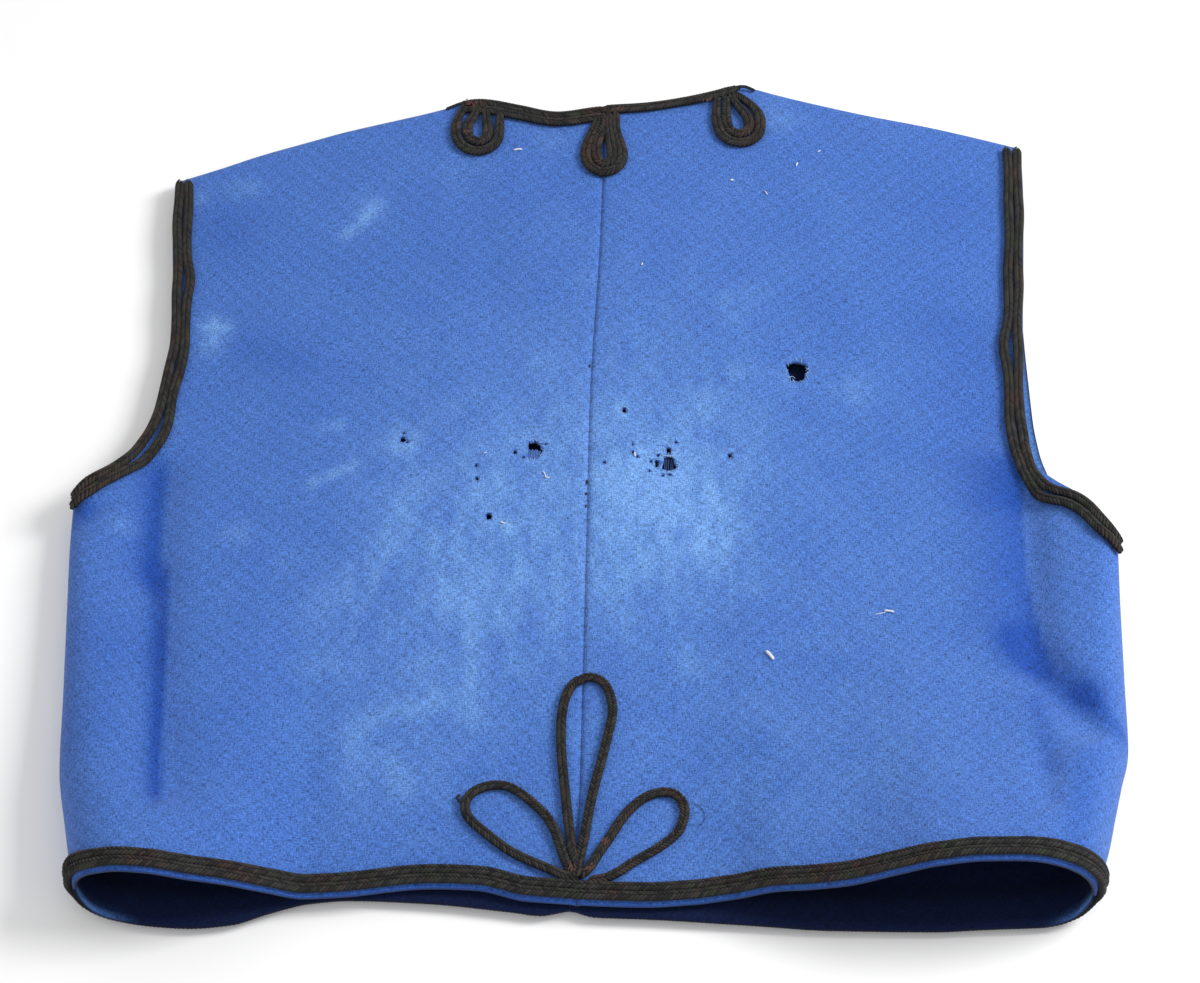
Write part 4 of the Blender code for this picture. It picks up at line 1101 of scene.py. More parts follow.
@dataclass
class Cord:
    """One plaited cord that lies on the cloth.

    Args:
        name: The piece's name.
        node: The solid that it stands for.
        route: Points along its flat back.
        facings: Directions away from the cloth.
        widths: Its width, one number or one at each point.
        height: From its back to its crown.
        lift: Of its back over the route.
        reach: How far it is carried on straight before its first point.
        pitch: Distance from strand to strand.
        full_width: Width at which the strands have their own size.
        core_sides: Faces round the core under the strands.
        core_share: Size of the core, as a share of the cord's.
        core_ends: Shares of that size at the core's first points and its last ones.
        strand: Half length, width and height of a strand.
        strand_place: Place of the strands, as shares of half the width and half the height.
        strand_tilt: How far a strand leans out to its side, in degrees.
    """

    name: str
    node: str
    route: np.ndarray
    facings: np.ndarray
    widths: Any
    height: float = 3.0
    lift: float = 0.1
    reach: float = 0.0
    pitch: float = 1.6
    full_width: float = 4.1
    core_sides: int = 10
    core_share: float = 0.93
    core_ends: tuple[float, float] = (0.45, 0.86)
    strand: tuple[float, float, float] = (1.75, 0.62, 0.5)
    strand_place: tuple[float, float] = (0.50, 0.62)
    strand_tilt: float = 30.0

    def even(self) -> tuple[np.ndarray, np.ndarray, np.ndarray, np.ndarray]:
        """Points, directions across and up, and widths, evenly spaced along the cord."""
        first = self.route[0] - unit(self.route[1] - self.route[0]) * self.reach
        route = np.concatenate((first[None], self.route[1:]))
        run = run_of(route)
        at = np.linspace(0.0, run[-1], max(int(round(run[-1] / self.pitch)), 4) + 1)
        points = read_along(route, route, at)
        tangents = unit(np.gradient(points, axis=0))
        across = unit(np.cross(tangents, unit(read_along(route, self.facings, at))))
        widths = np.interp(at, run, np.broadcast_to(self.widths, len(run)))
        return points, across, np.cross(across, tangents), widths

    def build(self, plait: PlaitTree, finish: bpy.types.Material) -> bpy.types.Object:
        """Build the cord from a core and strands, and let it stand for its node.

        Args:
            plait: The tree that lays the strands.
            finish: The cord's material.

        Returns:
            The piece.
        """
        points, across, upward, widths = self.even()
        count = len(points)
        turns = np.linspace(0.0, 2 * np.pi, self.core_sides, endpoint=False)
        size = np.full((count, 1), self.core_share)
        size[[0, -1]] *= self.core_ends[0]
        size[[1, -2]] *= self.core_ends[1]
        half, high = widths[:, None] / 2, self.height / 2
        centre = points + upward * (self.lift + high)
        core = (centre[:, None] + across[:, None] * (np.cos(turns) * half * size)[..., None]
                + upward[:, None] * (np.sin(turns) * high * size)[..., None]).reshape(-1, 3)
        onward = np.cross(upward, across)
        groups = []
        for hand, start in ((1, 0.0), (-1, 0.5)):
            tilt = np.radians(self.strand_tilt) * hand
            places = (centre + onward * (start * self.pitch)
                      + across * half * self.strand_place[0] * hand
                      + upward * (high * self.strand_place[1]))
            groups.append((places, upward * np.cos(tilt) + across * np.sin(tilt), onward,
                           np.full(count, hand), widths / self.full_width, np.ones(count)))
        values = [np.concatenate([part[1:-1] for part in parts]) for parts in zip(*groups)]
        piece = make_piece(self.name, np.concatenate((core, values[0])),
                           tube_faces(count, self.core_sides), finish)
        for name, value in zip(("upward", "onward", "hand", "swell", "is_strand"), values[1:]):
            blank = np.zeros((len(core), *value.shape[1:]))
            tag(piece.data, name, np.concatenate((blank, value)))
        plait.lay_on(piece, tuple(part * MM for part in self.strand), finish)
        attach(piece, Slot.BRAID, self.node)
        return piece


@dataclass(frozen=True)
class HemTrim:
    """Two rows of cord round the hem, from one front edge to the other."""

    width: float = 3.7
    drawn_width: float = 4.3
    margin: float = 1.25
    row_gap: float = 0.3
    end_gap: float = 2.4
    steps: int = 220

    def cords(self, panels: dict[str, ClothPanel]) -> list[Cord]:
        """Both rows, laid on the panels."""
        made = []
        shares = np.linspace(0.0, 1.0, self.steps)
        for number, row in enumerate(("outer", "inner")):
            inset = self.margin + self.width / 2 + number * (self.width + self.row_gap)
            parts = []
            for name, step in (("front_left", 1), ("back_left", -1), ("back_right", 1),
                               ("front_right", -1)):
                part = np.hstack(panels[name].inset("hem", inset, shares))[::step]
                parts.append(part[1:] if parts else part)
            route = np.concatenate(parts)
            run = run_of(route[:, :3])
            route = route[(run >= self.end_gap) & (run <= run[-1] - self.end_gap)]
            made.append(Cord(f"hem_cord_{row}", f"hem_braid_{row}", route[:, :3], route[:, 3:],
                             self.drawn_width))
        return made


@dataclass(frozen=True)
class OnBack:
    """Places plan routes on the back's outer face."""

    lay: Lay
    step: float = 0.5

    def raised(self, route: np.ndarray) -> tuple[np.ndarray, np.ndarray]:
        """Points of a plan route on the cloth, and the directions that it faces there."""
        x, y = route[:, 0], route[:, 1]
        is_left = x < follow(BACK_CENTRE, "y", "x", y)

        def height(across: np.ndarray, along: np.ndarray) -> np.ndarray:
            """Height of the half that each point lies on."""
            return np.where(is_left, self.lay.back(Side.LEFT, across, along),
                            self.lay.back(Side.RIGHT, across, along))

        z = height(x, y)
        slope_x = (height(x + self.step, y) - height(x - self.step, y)) / (2 * self.step)
        slope_y = (height(x, y + self.step) - height(x, y - self.step)) / (2 * self.step)
        return (np.stack((x, y, z), axis=1),
                unit(np.stack((-slope_x, -slope_y, np.ones(len(x))), axis=1)))


class Parting(NamedTuple):
    """A stretch of an armhole where a row lies further in and the cloth shows beside it."""

    y: float
    length: float
    gap: float

    def at(self, y: np.ndarray) -> np.ndarray:
        """How much further in the row lies at plan places along."""
        return self.gap * np.exp(-((y - self.y) / self.length) ** 2)


@dataclass(frozen=True)
class ArmholeTrim:
    """Two rows of cord along each of the back's armholes.

    Args:
        width: Of a row of the solids.
        drawn_width: Of the plait, whose strands leave gaps at its sides.
        tail: How far a row is carried on below the underarm.
        tail_step: Distance between the points of that stretch.
        merge: How much closer the rows lie at the underarm.
        merge_length: Length over which they come apart.
        wander: How far a row strays from its line.
        wander_length: Length of the waves in which it strays.
        calm_length: Length at the underarm over which it begins to stray.
        bared: Where the right armhole's rows leave the edge free.
        partings: Where the two rows of each side part.
    """

    width: float = 4.1
    drawn_width: float = 4.6
    margin: float = 0.1
    row_gap: float = 0.3
    lift: float = 0.3
    tail: float = 12.0
    tail_step: float = 0.5
    least_inside: float = 1.2
    last_share: float = 0.9884
    steps: int = 160
    merge: float = 1.5
    merge_length: float = 6.0
    wander: float = 0.3
    wander_length: float = 7.0
    calm_length: float = 20.0
    bared: Parting = Parting(-18.5, 10.0, 3.3)
    partings: tuple[tuple[str, tuple[Parting, ...]], ...] = (
        ("left", rows(Parting, (12, 14, 1.5), (100, 9, 1))),
        ("right", rows(Parting, (60, 11, 1.5), (-26, 9, 0.5))))

    def plan(self, panel: ClothPanel, partings: tuple[Parting, ...], number: int) -> np.ndarray:
        """Plan route of one row, carried on from the underarm to the side's outline.

        Args:
            panel: The half of the back that it lies on.
            partings: Where the rows part.
            number: 0 for the outer row, 1 for the inner one.

        Returns:
            The route, from the underarm up.
        """
        side = panel.side
        shares = np.linspace(UNDERARM_SHARE + SHARE_STEP, self.last_share, self.steps)
        edge = panel.side_edge(shares).T
        run, along = run_of(edge), unit(np.gradient(edge, axis=0))
        inward = np.stack((-side * along[:, 1], side * along[:, 0]), axis=1)
        spread = sum(parting.at(edge[:, 1]) for parting in partings)
        spread = spread - self.merge * np.exp(-run / self.merge_length)
        inset = self.margin + self.width / 2 + (self.width + self.row_gap + spread) * number
        wander = self.wander * np.sin(run / self.wander_length + 2.0 * number + side)
        inset = inset + wander * np.minimum(run / self.calm_length, 1.0)
        if side == Side.RIGHT:
            inset = inset + self.bared.at(edge[:, 1])
        route = edge + inward * inset[:, None]
        tail = route[0] - along[3] * np.arange(self.tail, 0.0, -self.tail_step)[:, None]
        is_on = panel.lay.inside(side, tail[:, 0], tail[:, 1]) > self.least_inside
        return np.concatenate((tail[is_on], route))

    def cords(self, panels: dict[str, ClothPanel], back: OnBack) -> list[Cord]:
        """All four rows, laid on the back."""
        made = []
        for side, partings in self.partings:
            for number, row in enumerate(("outer", "inner")):
                points, ways = back.raised(self.plan(panels[f"back_{side}"], partings, number))
                made.append(Cord(f"{side}_armhole_cord_{row}", f"{side}_armhole_braid_{row}",
                                 points, ways, self.drawn_width, lift=self.lift))
        return made


@dataclass(frozen=True)
class NeckTrim:
    """Two rows of cord at the neck, in two lengths that meet at the centre seam.

    Args:
        over_edge: How far the right upper row lies out past the neck's edge.
        reach: How far the rows are carried on past the centre seam.
        edge_reach: The same for the row that lies over the edge.
        taper: Length over which a row narrows to its outer end.
    """

    width: float = 4.1
    drawn_width: float = 4.7
    margin: float = 0.1
    row_gap: float = 0.3
    over_edge: float = 1.54
    reach: float = 1.6
    edge_reach: float = 2.5
    last_share: float = 0.94
    taper: float = 7.0
    steps: int = 60

    def cords(self, panels: dict[str, ClothPanel]) -> list[Cord]:
        """All four lengths: both on top at the left, one of them over the edge at the right."""
        made = []
        first = self.margin + self.width / 2
        for side, row, inset in (("left", "upper", first),
                                 ("left", "lower", first + self.width + self.row_gap),
                                 ("right", "lower", first), ("right", "upper", 0.0)):
            panel, reach = panels[f"back_{side}"], self.reach
            shares = np.linspace(0.0, panel.neck_share * self.last_share, self.steps)
            points, ways = panel.inset("top", inset, shares)
            if inset == 0:
                points, reach = points - ways * self.over_edge, self.edge_reach
                slopes = np.gradient(points[:, 1], points[:, 0])
                flat = np.zeros(len(slopes))
                ways = unit(np.stack((-slopes, flat + 1, flat), axis=1))
            run = run_of(points)
            widths = self.drawn_width * (0.5 + 0.5 * ease((run[-1] - run) / self.taper))
            made.append(Cord(f"neck_cord_{side}_{row}", f"neck_braid_{side}_{row}", points, ways,
                             widths, reach=reach))
        return made


LOOPS = (("left_loop_outer", ((-60.8, 212.5), (-63, 207), (-64.8, 201), (-65.2, 195), (-64.4, 189.5),
    (-61.6, 184.8), (-56.8, 182), (-51.2, 182.3), (-47.2, 185.4), (-45.2, 190.5), (-44.8, 197),
    (-44.7, 203.5), (-45.6, 209), (-47.5, 212.5))), ("left_loop_inner", ((-55, 211.5), (-56, 207.6),
    (-57.4, 203.4), (-59.2, 199.4), (-59.7, 194.8), (-58.8, 190.6), (-55.6, 187.9), (-52.4, 188.4),
    (-50.4, 191.8), (-50.3, 196.6), (-50.9, 201.5), (-51.4, 206.5), (-51.8, 211.5))),
    ("centre_loop_outer", ((1.9, 207), (1, 200), (-1.2, 193), (-3.2, 186), (-4, 179.5), (-2.6, 173.2),
    (1, 169), (5, 168), (9.2, 169.2), (12.4, 173.4), (13.3, 179.5), (12.3, 186.5), (10.9, 193),
    (10.2, 200), (10.5, 206.5))), ("centre_loop_inner", ((4.5, 206), (4, 199), (2.5, 192), (1.2, 186),
    (0.9, 179.8), (2.2, 174.9), (4.9, 173.2), (7.8, 174.9), (8.6, 179.8), (8, 186), (7.4, 192),
    (7, 199), (7.3, 206))), ("right_loop_outer", ((58.8, 217.8), (58.2, 211.5), (57.8, 205.5),
    (58.4, 198.5), (60.2, 192.6), (64.4, 188.4), (69.4, 187.3), (74.2, 188.8), (77.4, 192.8),
    (78.5, 198.8), (78, 205.2), (75.6, 210.8), (71.6, 215.4), (66.8, 219.5))), ("right_loop_inner",
    ((62.6, 218.2), (62.8, 212), (62.5, 205.5), (62.8, 199.6), (64.8, 194.8), (68.6, 192.8),
    (72, 194.6), (73.3, 199.2), (72.5, 204), (70.2, 208.4), (67.6, 212.6), (65, 218))))
PETALS = (("left_petal", ((-6, -211.6), (-11, -209.8), (-17.2, -206.7), (-25.9, -202.4),
    (-32.6, -198.6), (-39.3, -193.3), (-46.2, -186.9), (-49.6, -181.9), (-50, -176.5), (-46.6, -171.6),
    (-40.7, -169), (-34.7, -169), (-29.6, -171.6), (-23.6, -176.9), (-18.4, -182.6), (-15.2, -188.6),
    (-13, -195), (-11.5, -200.5), (-9.8, -205.6), (-8.2, -209.8))), ("centre_petal", ((-6, -209.6),
    (-7.2, -203.4), (-8.2, -197.4), (-9.2, -189), (-10.4, -177.3), (-11.9, -161.6), (-12.7, -149.3),
    (-12.7, -136.9), (-11, -126.5), (-7, -119), (-1.3, -116.6), (4.4, -119.6), (7.4, -128), (7.6, -136),
    (5.9, -145.1), (2.8, -159.2), (0, -171.8), (-2.3, -185.6), (-3.6, -195), (-4.4, -202),
    (-5.2, -208.6))), ("right_petal", ((-5, -210.4), (-2.2, -207.2), (0.1, -203.9), (2.3, -199.8),
    (4.7, -195.8), (7.2, -191.6), (10.4, -185.8), (14.9, -179.6), (20.5, -174.3), (26.4, -171.8),
    (31.9, -172.3), (35.4, -176.9), (35.7, -182.8), (33.2, -190.1), (27.6, -195.5), (21.4, -199.9),
    (16, -203.4), (11.8, -206.6), (7.6, -209.4), (3, -211.2), (-1.6, -211.8))))
TREFOIL_ROOT = (("trefoil_root", ((-6.1, -201.6), (-5.9, -205.6), (-5.7, -210.4))),)


@dataclass(frozen=True)
class MotifTrim:
    """Cords that are bent into loops or petals, narrower at their roots.

    Args:
        width: Of the cord.
        root_width: Of the cord at both of its ends.
        routes: The name of each cord's solid, and its route.
        lift: Of the cords over the cloth.
        root_from: Share of half the cord's length at which it begins to narrow.
        root_fade: Share over which it narrows.
        spacing: Distance between the points of a route.
    """

    width: float
    root_width: float
    routes: tuple[tuple[str, tuple[tuple[float, float], ...]], ...]
    lift: float = 0.1
    root_from: float = 0.45
    root_fade: float = 0.4
    spacing: float = 1.5

    def cords(self, back: OnBack) -> list[Cord]:
        """All of its cords, laid on the back."""
        made = []
        for node, route in self.routes:
            points, ways = back.raised(curve_through(route, self.spacing))
            share = np.abs(np.linspace(-1.0, 1.0, len(points)))
            narrowed = ease((share - self.root_from) / self.root_fade)
            made.append(Cord(f"{node}_cord", node, points, ways, lift=self.lift,
                             widths=self.width + (self.root_width - self.width) * narrowed))
        return made


class Hole(NamedTuple):
    """A moth hole, with its size across and along."""

    x: float
    y: float
    wide: float
    long: float
    phase: float


@dataclass(frozen=True)
class MothHoles:
    """Holes that moths have eaten through the back.

    Args:
        corners: Points round a hole.
        depth: How far the cutter reaches over and under the cloth.
        lobes: How many waves go round a hole's edge, and their share of its radius.
        pinch: Share by which the edge is drawn in at four places.
        holes: The holes.
    """

    corners: int = 17
    depth: float = 4.2
    lobes: tuple[tuple[int, float], ...] = ((3, 0.12), (5, 0.09), (8, 0.07))
    pinch: float = 0.06
    holes: tuple[Hole, ...] = rows(Hole, (89.6, 48.2, 9.2, 12.2, 0.4), (-25.5, 3.4, 6.3, 10.6, 1.7),
        (32.4, -4.2, 5.8, 8.8, 2.9), (32.4, 3.1, 2.2, 4.2, 0.3), (-44.3, -32.9, 2.6, 4, 0.9),
        (-82.5, 9.1, 2.6, 3.4, 2.2), (-82.2, 12.6, 1.2, 1.5, 1.2), (-80.6, 7.6, 1.3, 1.3, 3.2),
        (13.3, 25.4, 1.9, 3.2, 4.1), (17, 2, 1.2, 2, 5), (18.9, -0.6, 1.2, 1.5, 2),
        (58.7, 0.2, 2, 2.6, 0.2), (-49.9, -12.4, 1.6, 2.2, 1.1), (-50.5, -5.3, 1.4, 1.8, 3.3),
        (-33.9, 1.9, 1.8, 2.4, 2.7), (-30.2, -0.8, 1.3, 1.4, 0.7), (-20.8, 6.7, 1, 1.3, 0.1),
        (4.6, -3.9, 1.5, 1.6, 4.4), (27.2, -4.2, 1.9, 4.6, 0.6), (24.7, -3.2, 1.2, 1.6, 5.5),
        (27.8, 0.3, 1.3, 1.9, 1.5), (35.7, 7.7, 1.4, 1.6, 2.5), (29.7, -10.9, 1.5, 1.3, 3),
        (32.6, -10.2, 2, 1.3, 4), (16.9, 6.4, 0.9, 1.2, 1), (24, -8.4, 1, 1.4, 2))

    def cut(self, piece: bpy.types.Object, side: Side, lay: Lay) -> None:
        """Cut one half's holes through its cloth.

        Args:
            piece: The half's piece.
            side: Which half it is.
            lay: How the back lies.
        """
        turns = np.linspace(0.0, 2 * np.pi, self.corners, endpoint=False)
        points, faces = [], []
        for hole in self.holes:
            if side * hole.x < 0:
                continue
            ragged = 1 - self.pinch * np.cos(4 * turns) + sum(
                share * np.sin(count * turns + hole.phase) for count, share in self.lobes)
            x = hole.x + hole.wide / 2 * ragged * np.cos(turns)
            y = hole.y + hole.long / 2 * ragged * np.sin(turns)
            top = float(lay.back(side, np.array(hole.x), np.array(hole.y)))
            start = len(points) * self.corners
            for z in (top - self.depth, top + self.depth):
                points.append(np.stack((x, y, np.full(self.corners, z)), axis=1))
            low = start + np.arange(self.corners)
            high = low + self.corners
            faces += [low[::-1].tolist(), high.tolist()]
            faces += np.stack((low, np.roll(low, -1), np.roll(high, -1), high), -1).tolist()
        cutter = make_piece("hole_cutter", np.concatenate(points), faces, piece.data.materials[0])
        modifier = piece.modifiers.new("holes", "BOOLEAN")
        modifier.operation = "DIFFERENCE"
        modifier.solver = "EXACT"
        modifier.object = cutter
        settle(piece)
        bpy.data.objects.remove(cutter)


class Thread(NamedTuple):
    """A thread or a bit of lint: plan points with a height over the cloth."""

    radius: float
    route: tuple[tuple[float, float, float], ...]


class Fleck(NamedTuple):
    """A short bit of lint, with its heading in degrees."""

    x: float
    y: float
    length: float
    heading: float
    radius: float


class Tuft(NamedTuple):
    """A few worn threads side by side, with their heading in degrees."""

    x: float
    y: float
    across: float
    along: float
    heading: float
    high: float


@dataclass(frozen=True)
class LooseThreads:
    """Loose threads, lint and the frayed ends round the moth holes.

    Args:
        seed: Of the random numbers.
        sides: Faces round a thread.
        step: Distance between a thread's points.
        bend: Largest bend of a straight thread, as a share of its length.
        upright: A direction that no thread runs in.
        end_share: Size of a thread's ends, as a share of its radius.
        standing: Height of a thread's middle over the cloth, as a share of its radius.
        fray_spacing: Distance between frays round a hole.
        fray_heights: Of a fray's three points, from its outer end to its inner one.
        fray_turn: How far a fray's inner end strays round the hole, in radians.
        fray_lean: How far its outer end strays from the inner one.
        fray_sizes: Places of its outer end and its middle, as shares of the hole's size.
        fray_growth: How much further out the outer end may lie.
        fray_inner: Places between which its inner end lies.
        tuft_threads: How many threads a tuft has.
        tuft_strays: How far they lie from their places, across and along.
        tuft_turn: How far they turn from the tuft's heading, in degrees.
        tuft_lengths: Shortest and longest thread, as shares of the tuft's length.
        tuft_sink: How far they lie below the tuft's height.
        lint_height: Of lint over the cloth.
    """

    seed: int = 7
    sides: int = 5
    step: float = 0.7
    bend: float = 0.10
    upright: tuple[float, float, float] = (0.02, 0.03, 1.0)
    end_share: float = 0.5
    standing: float = 0.8
    fray_radius: float = 0.12
    fray_spacing: float = 1.6
    fray_heights: tuple[float, float, float] = (0.0, 0.08, -0.25)
    fray_turn: float = 0.4
    fray_lean: float = 0.5
    fray_sizes: tuple[float, float] = (1.12, 1.04)
    fray_growth: float = 0.3
    fray_inner: tuple[float, float] = (0.78, 0.98)
    tuft_radius: float = 0.24
    tuft_threads: int = 6
    tuft_strays: tuple[float, float] = (0.6, 0.9)
    tuft_turn: float = 24.0
    tuft_lengths: tuple[float, float] = (0.35, 0.9)
    tuft_sink: float = 0.15
    lint_height: float = 0.1
    lint: tuple[Fleck, ...] = rows(Fleck, (105.6, 183.1, 1.8, 40, 0.3), (94.9, 174.6, 2.4, 70, 0.45),
        (64.2, 164.3, 1.6, 10, 0.55), (79.7, 156.5, 2.8, 115, 0.28), (21.8, 111.4, 1.6, 60, 0.35),
        (-35.8, 183.8, 4.2, 8, 0.45), (-21.2, -10, 3.4, 112, 0.26), (-19.9, -11.7, 2.2, 170, 0.32),
        (-38.3, -36.7, 2.6, 150, 0.35), (-46.8, 1.3, 1.6, 20, 0.25), (71.9, -107, 5.4, 122, 0.75),
        (121.5, -87, 4.2, 165, 0.5), (117.8, -87.6, 5, 12, 0.16), (16.1, 211.7, 2.2, 80, 0.4),
        (61.2, 192.3, 1.4, 30, 0.4), (17.8, 0.4, 2.6, 95, 0.42))
    rust: tuple[Tuft, ...] = rows(Tuft, (-56.4, 211.6, 3.4, 6, 95, 3.2),
        (-59.8, 212.6, 2.6, 3.4, 20, 3.2), (53.4, 215, 3, 4.6, 70, 2.6),
        (12.4, 208.8, 2.2, 4.2, 75, 3), (-8.4, -206.8, 2.2, 6, 95, 3.2), (-1.6, -207, 2.4, 5, 55, 3.2),
        (4.8, -195.2, 1.8, 3.6, 60, 3.1), (-60.4, 193, 1.6, 4, 80, 3.1))
    crossing: tuple[Thread, ...] = rows(Thread, (0.26, ((29.4, 0.2, 0), (32, -0.3, 0.1),
        (34.9, -0.2, 0))), (0.14, ((30, 5.4, 0), (30.4, 2.6, 0.1), (30, 0.4, 0))),
        (0.14, ((85.2, 44, 0), (87.4, 44.8, 0), (88.6, 43.8, -0.2))))
    dark: tuple[Thread, ...] = rows(Thread, (0.75, ((-60.5, 213.2, 2.2), (-65.5, 212.4, 1.2),
        (-70.4, 210.6, 0.4))), (0.8, ((68.6, 223.6, 2.2), (72.4, 224, 1.6), (76.8, 222.6, 0.4))),
        (0.6, ((-50.6, -178, 1.6), (-53.4, -174.6, 0.8), (-52.4, -172.6, 0.4))),
        (0.11, ((38, -175, 0.6), (42.4, -178.2, 0.3), (43.8, -183.2, 0.3), (41.2, -187, 0.5))),
        (0.4, ((-2.9, -13, 0.1), (-2.9, -15.4, 0.1))), (0.4, ((-3, -19.6, 0.1), (-3.1, -21.2, 0.1))),
        (0.4, ((-1.6, 52, 0.1), (-1.7, 50.4, 0.1))), (0.35, ((-3.2, -26.2, 0.1), (-3.2, -27.8, 0.1))))

    def tube(self, route: np.ndarray, radius: float) -> tuple[np.ndarray, list[list[int]]]:
        """Points and faces of a closed tube along a route."""
        tangents = unit(np.gradient(route, axis=0))
        across = unit(np.cross(tangents, self.upright))
        upward = np.cross(across, tangents)
        turns = np.linspace(0.0, 2 * np.pi, self.sides, endpoint=False)[:, None]
        radii = np.full((len(route), 1, 1), radius)
        radii[[0, -1]] *= self.end_share
        out = np.cos(turns) * across[:, None] + np.sin(turns) * upward[:, None]
        return (route[:, None] + out * radii).reshape(-1, 3), tube_faces(len(route), self.sides)

    def on_cloth(self, back: OnBack, route: Sequence[Sequence[float]], radius: float) -> np.ndarray:
        """Route of a thread, raised from its height over the cloth."""
        fine = curve_through(route, self.step)
        points = back.raised(fine[:, :2])[0]
        points[:, 2] += fine[:, 2] + radius * self.standing
        return points

    def straight(self, x: float, y: float, length: float, heading: float, high: float,
                 dice: np.random.Generator) -> tuple[tuple[float, float, float], ...]:
        """A short route about a point, bent a little at random."""
        way = np.array((np.cos(np.radians(heading)), np.sin(np.radians(heading)))) * length / 2
        side = np.array((-way[1], way[0])) * dice.uniform(-self.bend, self.bend) * 2
        return ((x - way[0], y - way[1], high), (x + side[0], y + side[1], high),
                (x + way[0], y + way[1], high))

    def frays(self, holes: tuple[Hole, ...], dice: np.random.Generator) -> list[Thread]:
        """Frayed ends round each hole, and the threads that still cross the larger ones."""
        made = []
        for hole in holes:
            for turn in np.arange(0.0, 2 * np.pi, 2 * self.fray_spacing / hole.wide):
                turn += dice.uniform(-self.fray_turn, self.fray_turn)
                lean = turn + dice.uniform(-self.fray_lean, self.fray_lean)
                radii = (self.fray_sizes[0] + dice.uniform(0.0, self.fray_growth),
                         self.fray_sizes[1], dice.uniform(*self.fray_inner))
                angles = (lean, (turn + lean) / 2, turn)
                made.append(Thread(self.fray_radius, tuple(
                    (hole.x + hole.wide / 2 * size * np.cos(angle),
                     hole.y + hole.long / 2 * size * np.sin(angle), high)
                    for size, angle, high in zip(radii, angles, self.fray_heights))))
        return made + list(self.crossing)

    def bridging(self) -> list[Thread]:
        """Warp threads that are left across the lower part of the left hole."""
        return [Thread(0.36, ((x, -2.8, -1.0), (x + 0.1, 1.0, -1.1), (x - 0.1, 4.2 + lean, -1.5)))
                for x, lean in zip(np.arange(-28.4, -22.4, 0.7),
                                   (-0.6, 0.3, 0.0, 0.5, -0.2, 0.4, 0.1, -0.5, -0.3))]

    def sunken(self) -> list[Thread]:
        """Darker warp threads that are left low in the right hole and its neighbour."""
        return [Thread(0.3, ((x, -8.6 + lean, -1.4), (x - 0.2, -4.6, -1.7), (x + 0.1, -0.4, -1.5)))
                for x, lean in zip((30.7, 31.4, 32.3, 33.4, 34.2, 26.6, 27.6),
                                   (0.4, 0.0, 0.9, 0.2, 1.0, 2.0, 2.4))]

    def tufts(self, dice: np.random.Generator) -> list[Thread]:
        """Worn threads of the rusty tufts."""
        made = []
        for tuft in self.rust:
            turn = np.radians(tuft.heading)
            for over in np.linspace(-0.5, 0.5, self.tuft_threads) * tuft.across:
                stray, far = (dice.uniform(-most, most) for most in self.tuft_strays)
                heading = tuft.heading + dice.uniform(-self.tuft_turn, self.tuft_turn)
                length = tuft.along * dice.uniform(*self.tuft_lengths)
                made.append(Thread(self.tuft_radius, self.straight(
                    tuft.x - over * np.sin(turn) + stray, tuft.y + over * np.cos(turn) + far,
                    length, heading, tuft.high - self.tuft_sink, dice)))
        return made

    def build(self, back: OnBack, holes: tuple[Hole, ...]) -> None:
        """Build the threads, one piece for each shade.

        Args:
            back: The cloth that they lie on.
            holes: The moth holes.
        """
        dice = np.random.default_rng(self.seed)
        flecks = [Thread(fleck.radius, self.straight(*fleck[:4], self.lint_height, dice))
                  for fleck in self.lint]
        worn = self.tufts(dice)
        groups = (("lint", (0.62, 0.66, 0.74, 1.0), flecks, Slot.OUTER),
                  ("hole_frays", (0.26, 0.42, 0.68, 1.0), self.frays(holes, dice), Slot.OUTER),
                  ("bridging_threads", (0.055, 0.135, 0.390, 1.0), self.bridging(), Slot.OUTER),
                  ("sunken_threads", (0.016, 0.040, 0.125, 1.0), self.sunken(), Slot.OUTER),
                  ("worn_threads", (0.082, 0.034, 0.022, 1.0), worn, Slot.BRAID),
                  ("loose_ends", (0.009, 0.010, 0.016, 1.0), list(self.dark), Slot.BRAID))
        for name, colour, threads, slot in groups:
            points, faces, start = [], [], 0
            for thread in threads:
                route = self.on_cloth(back, thread.route, thread.radius)
                ring, quads = self.tube(route, thread.radius)
                points.append(ring)
                faces += [[number + start for number in quad] for quad in quads]
                start += len(ring)
            finish = PlainFinish(f"{name}_wool", colour).make()
            attach(make_piece(name, np.concatenate(points), faces, finish), slot)
            LOG.info("%s: %d threads", name, len(threads))


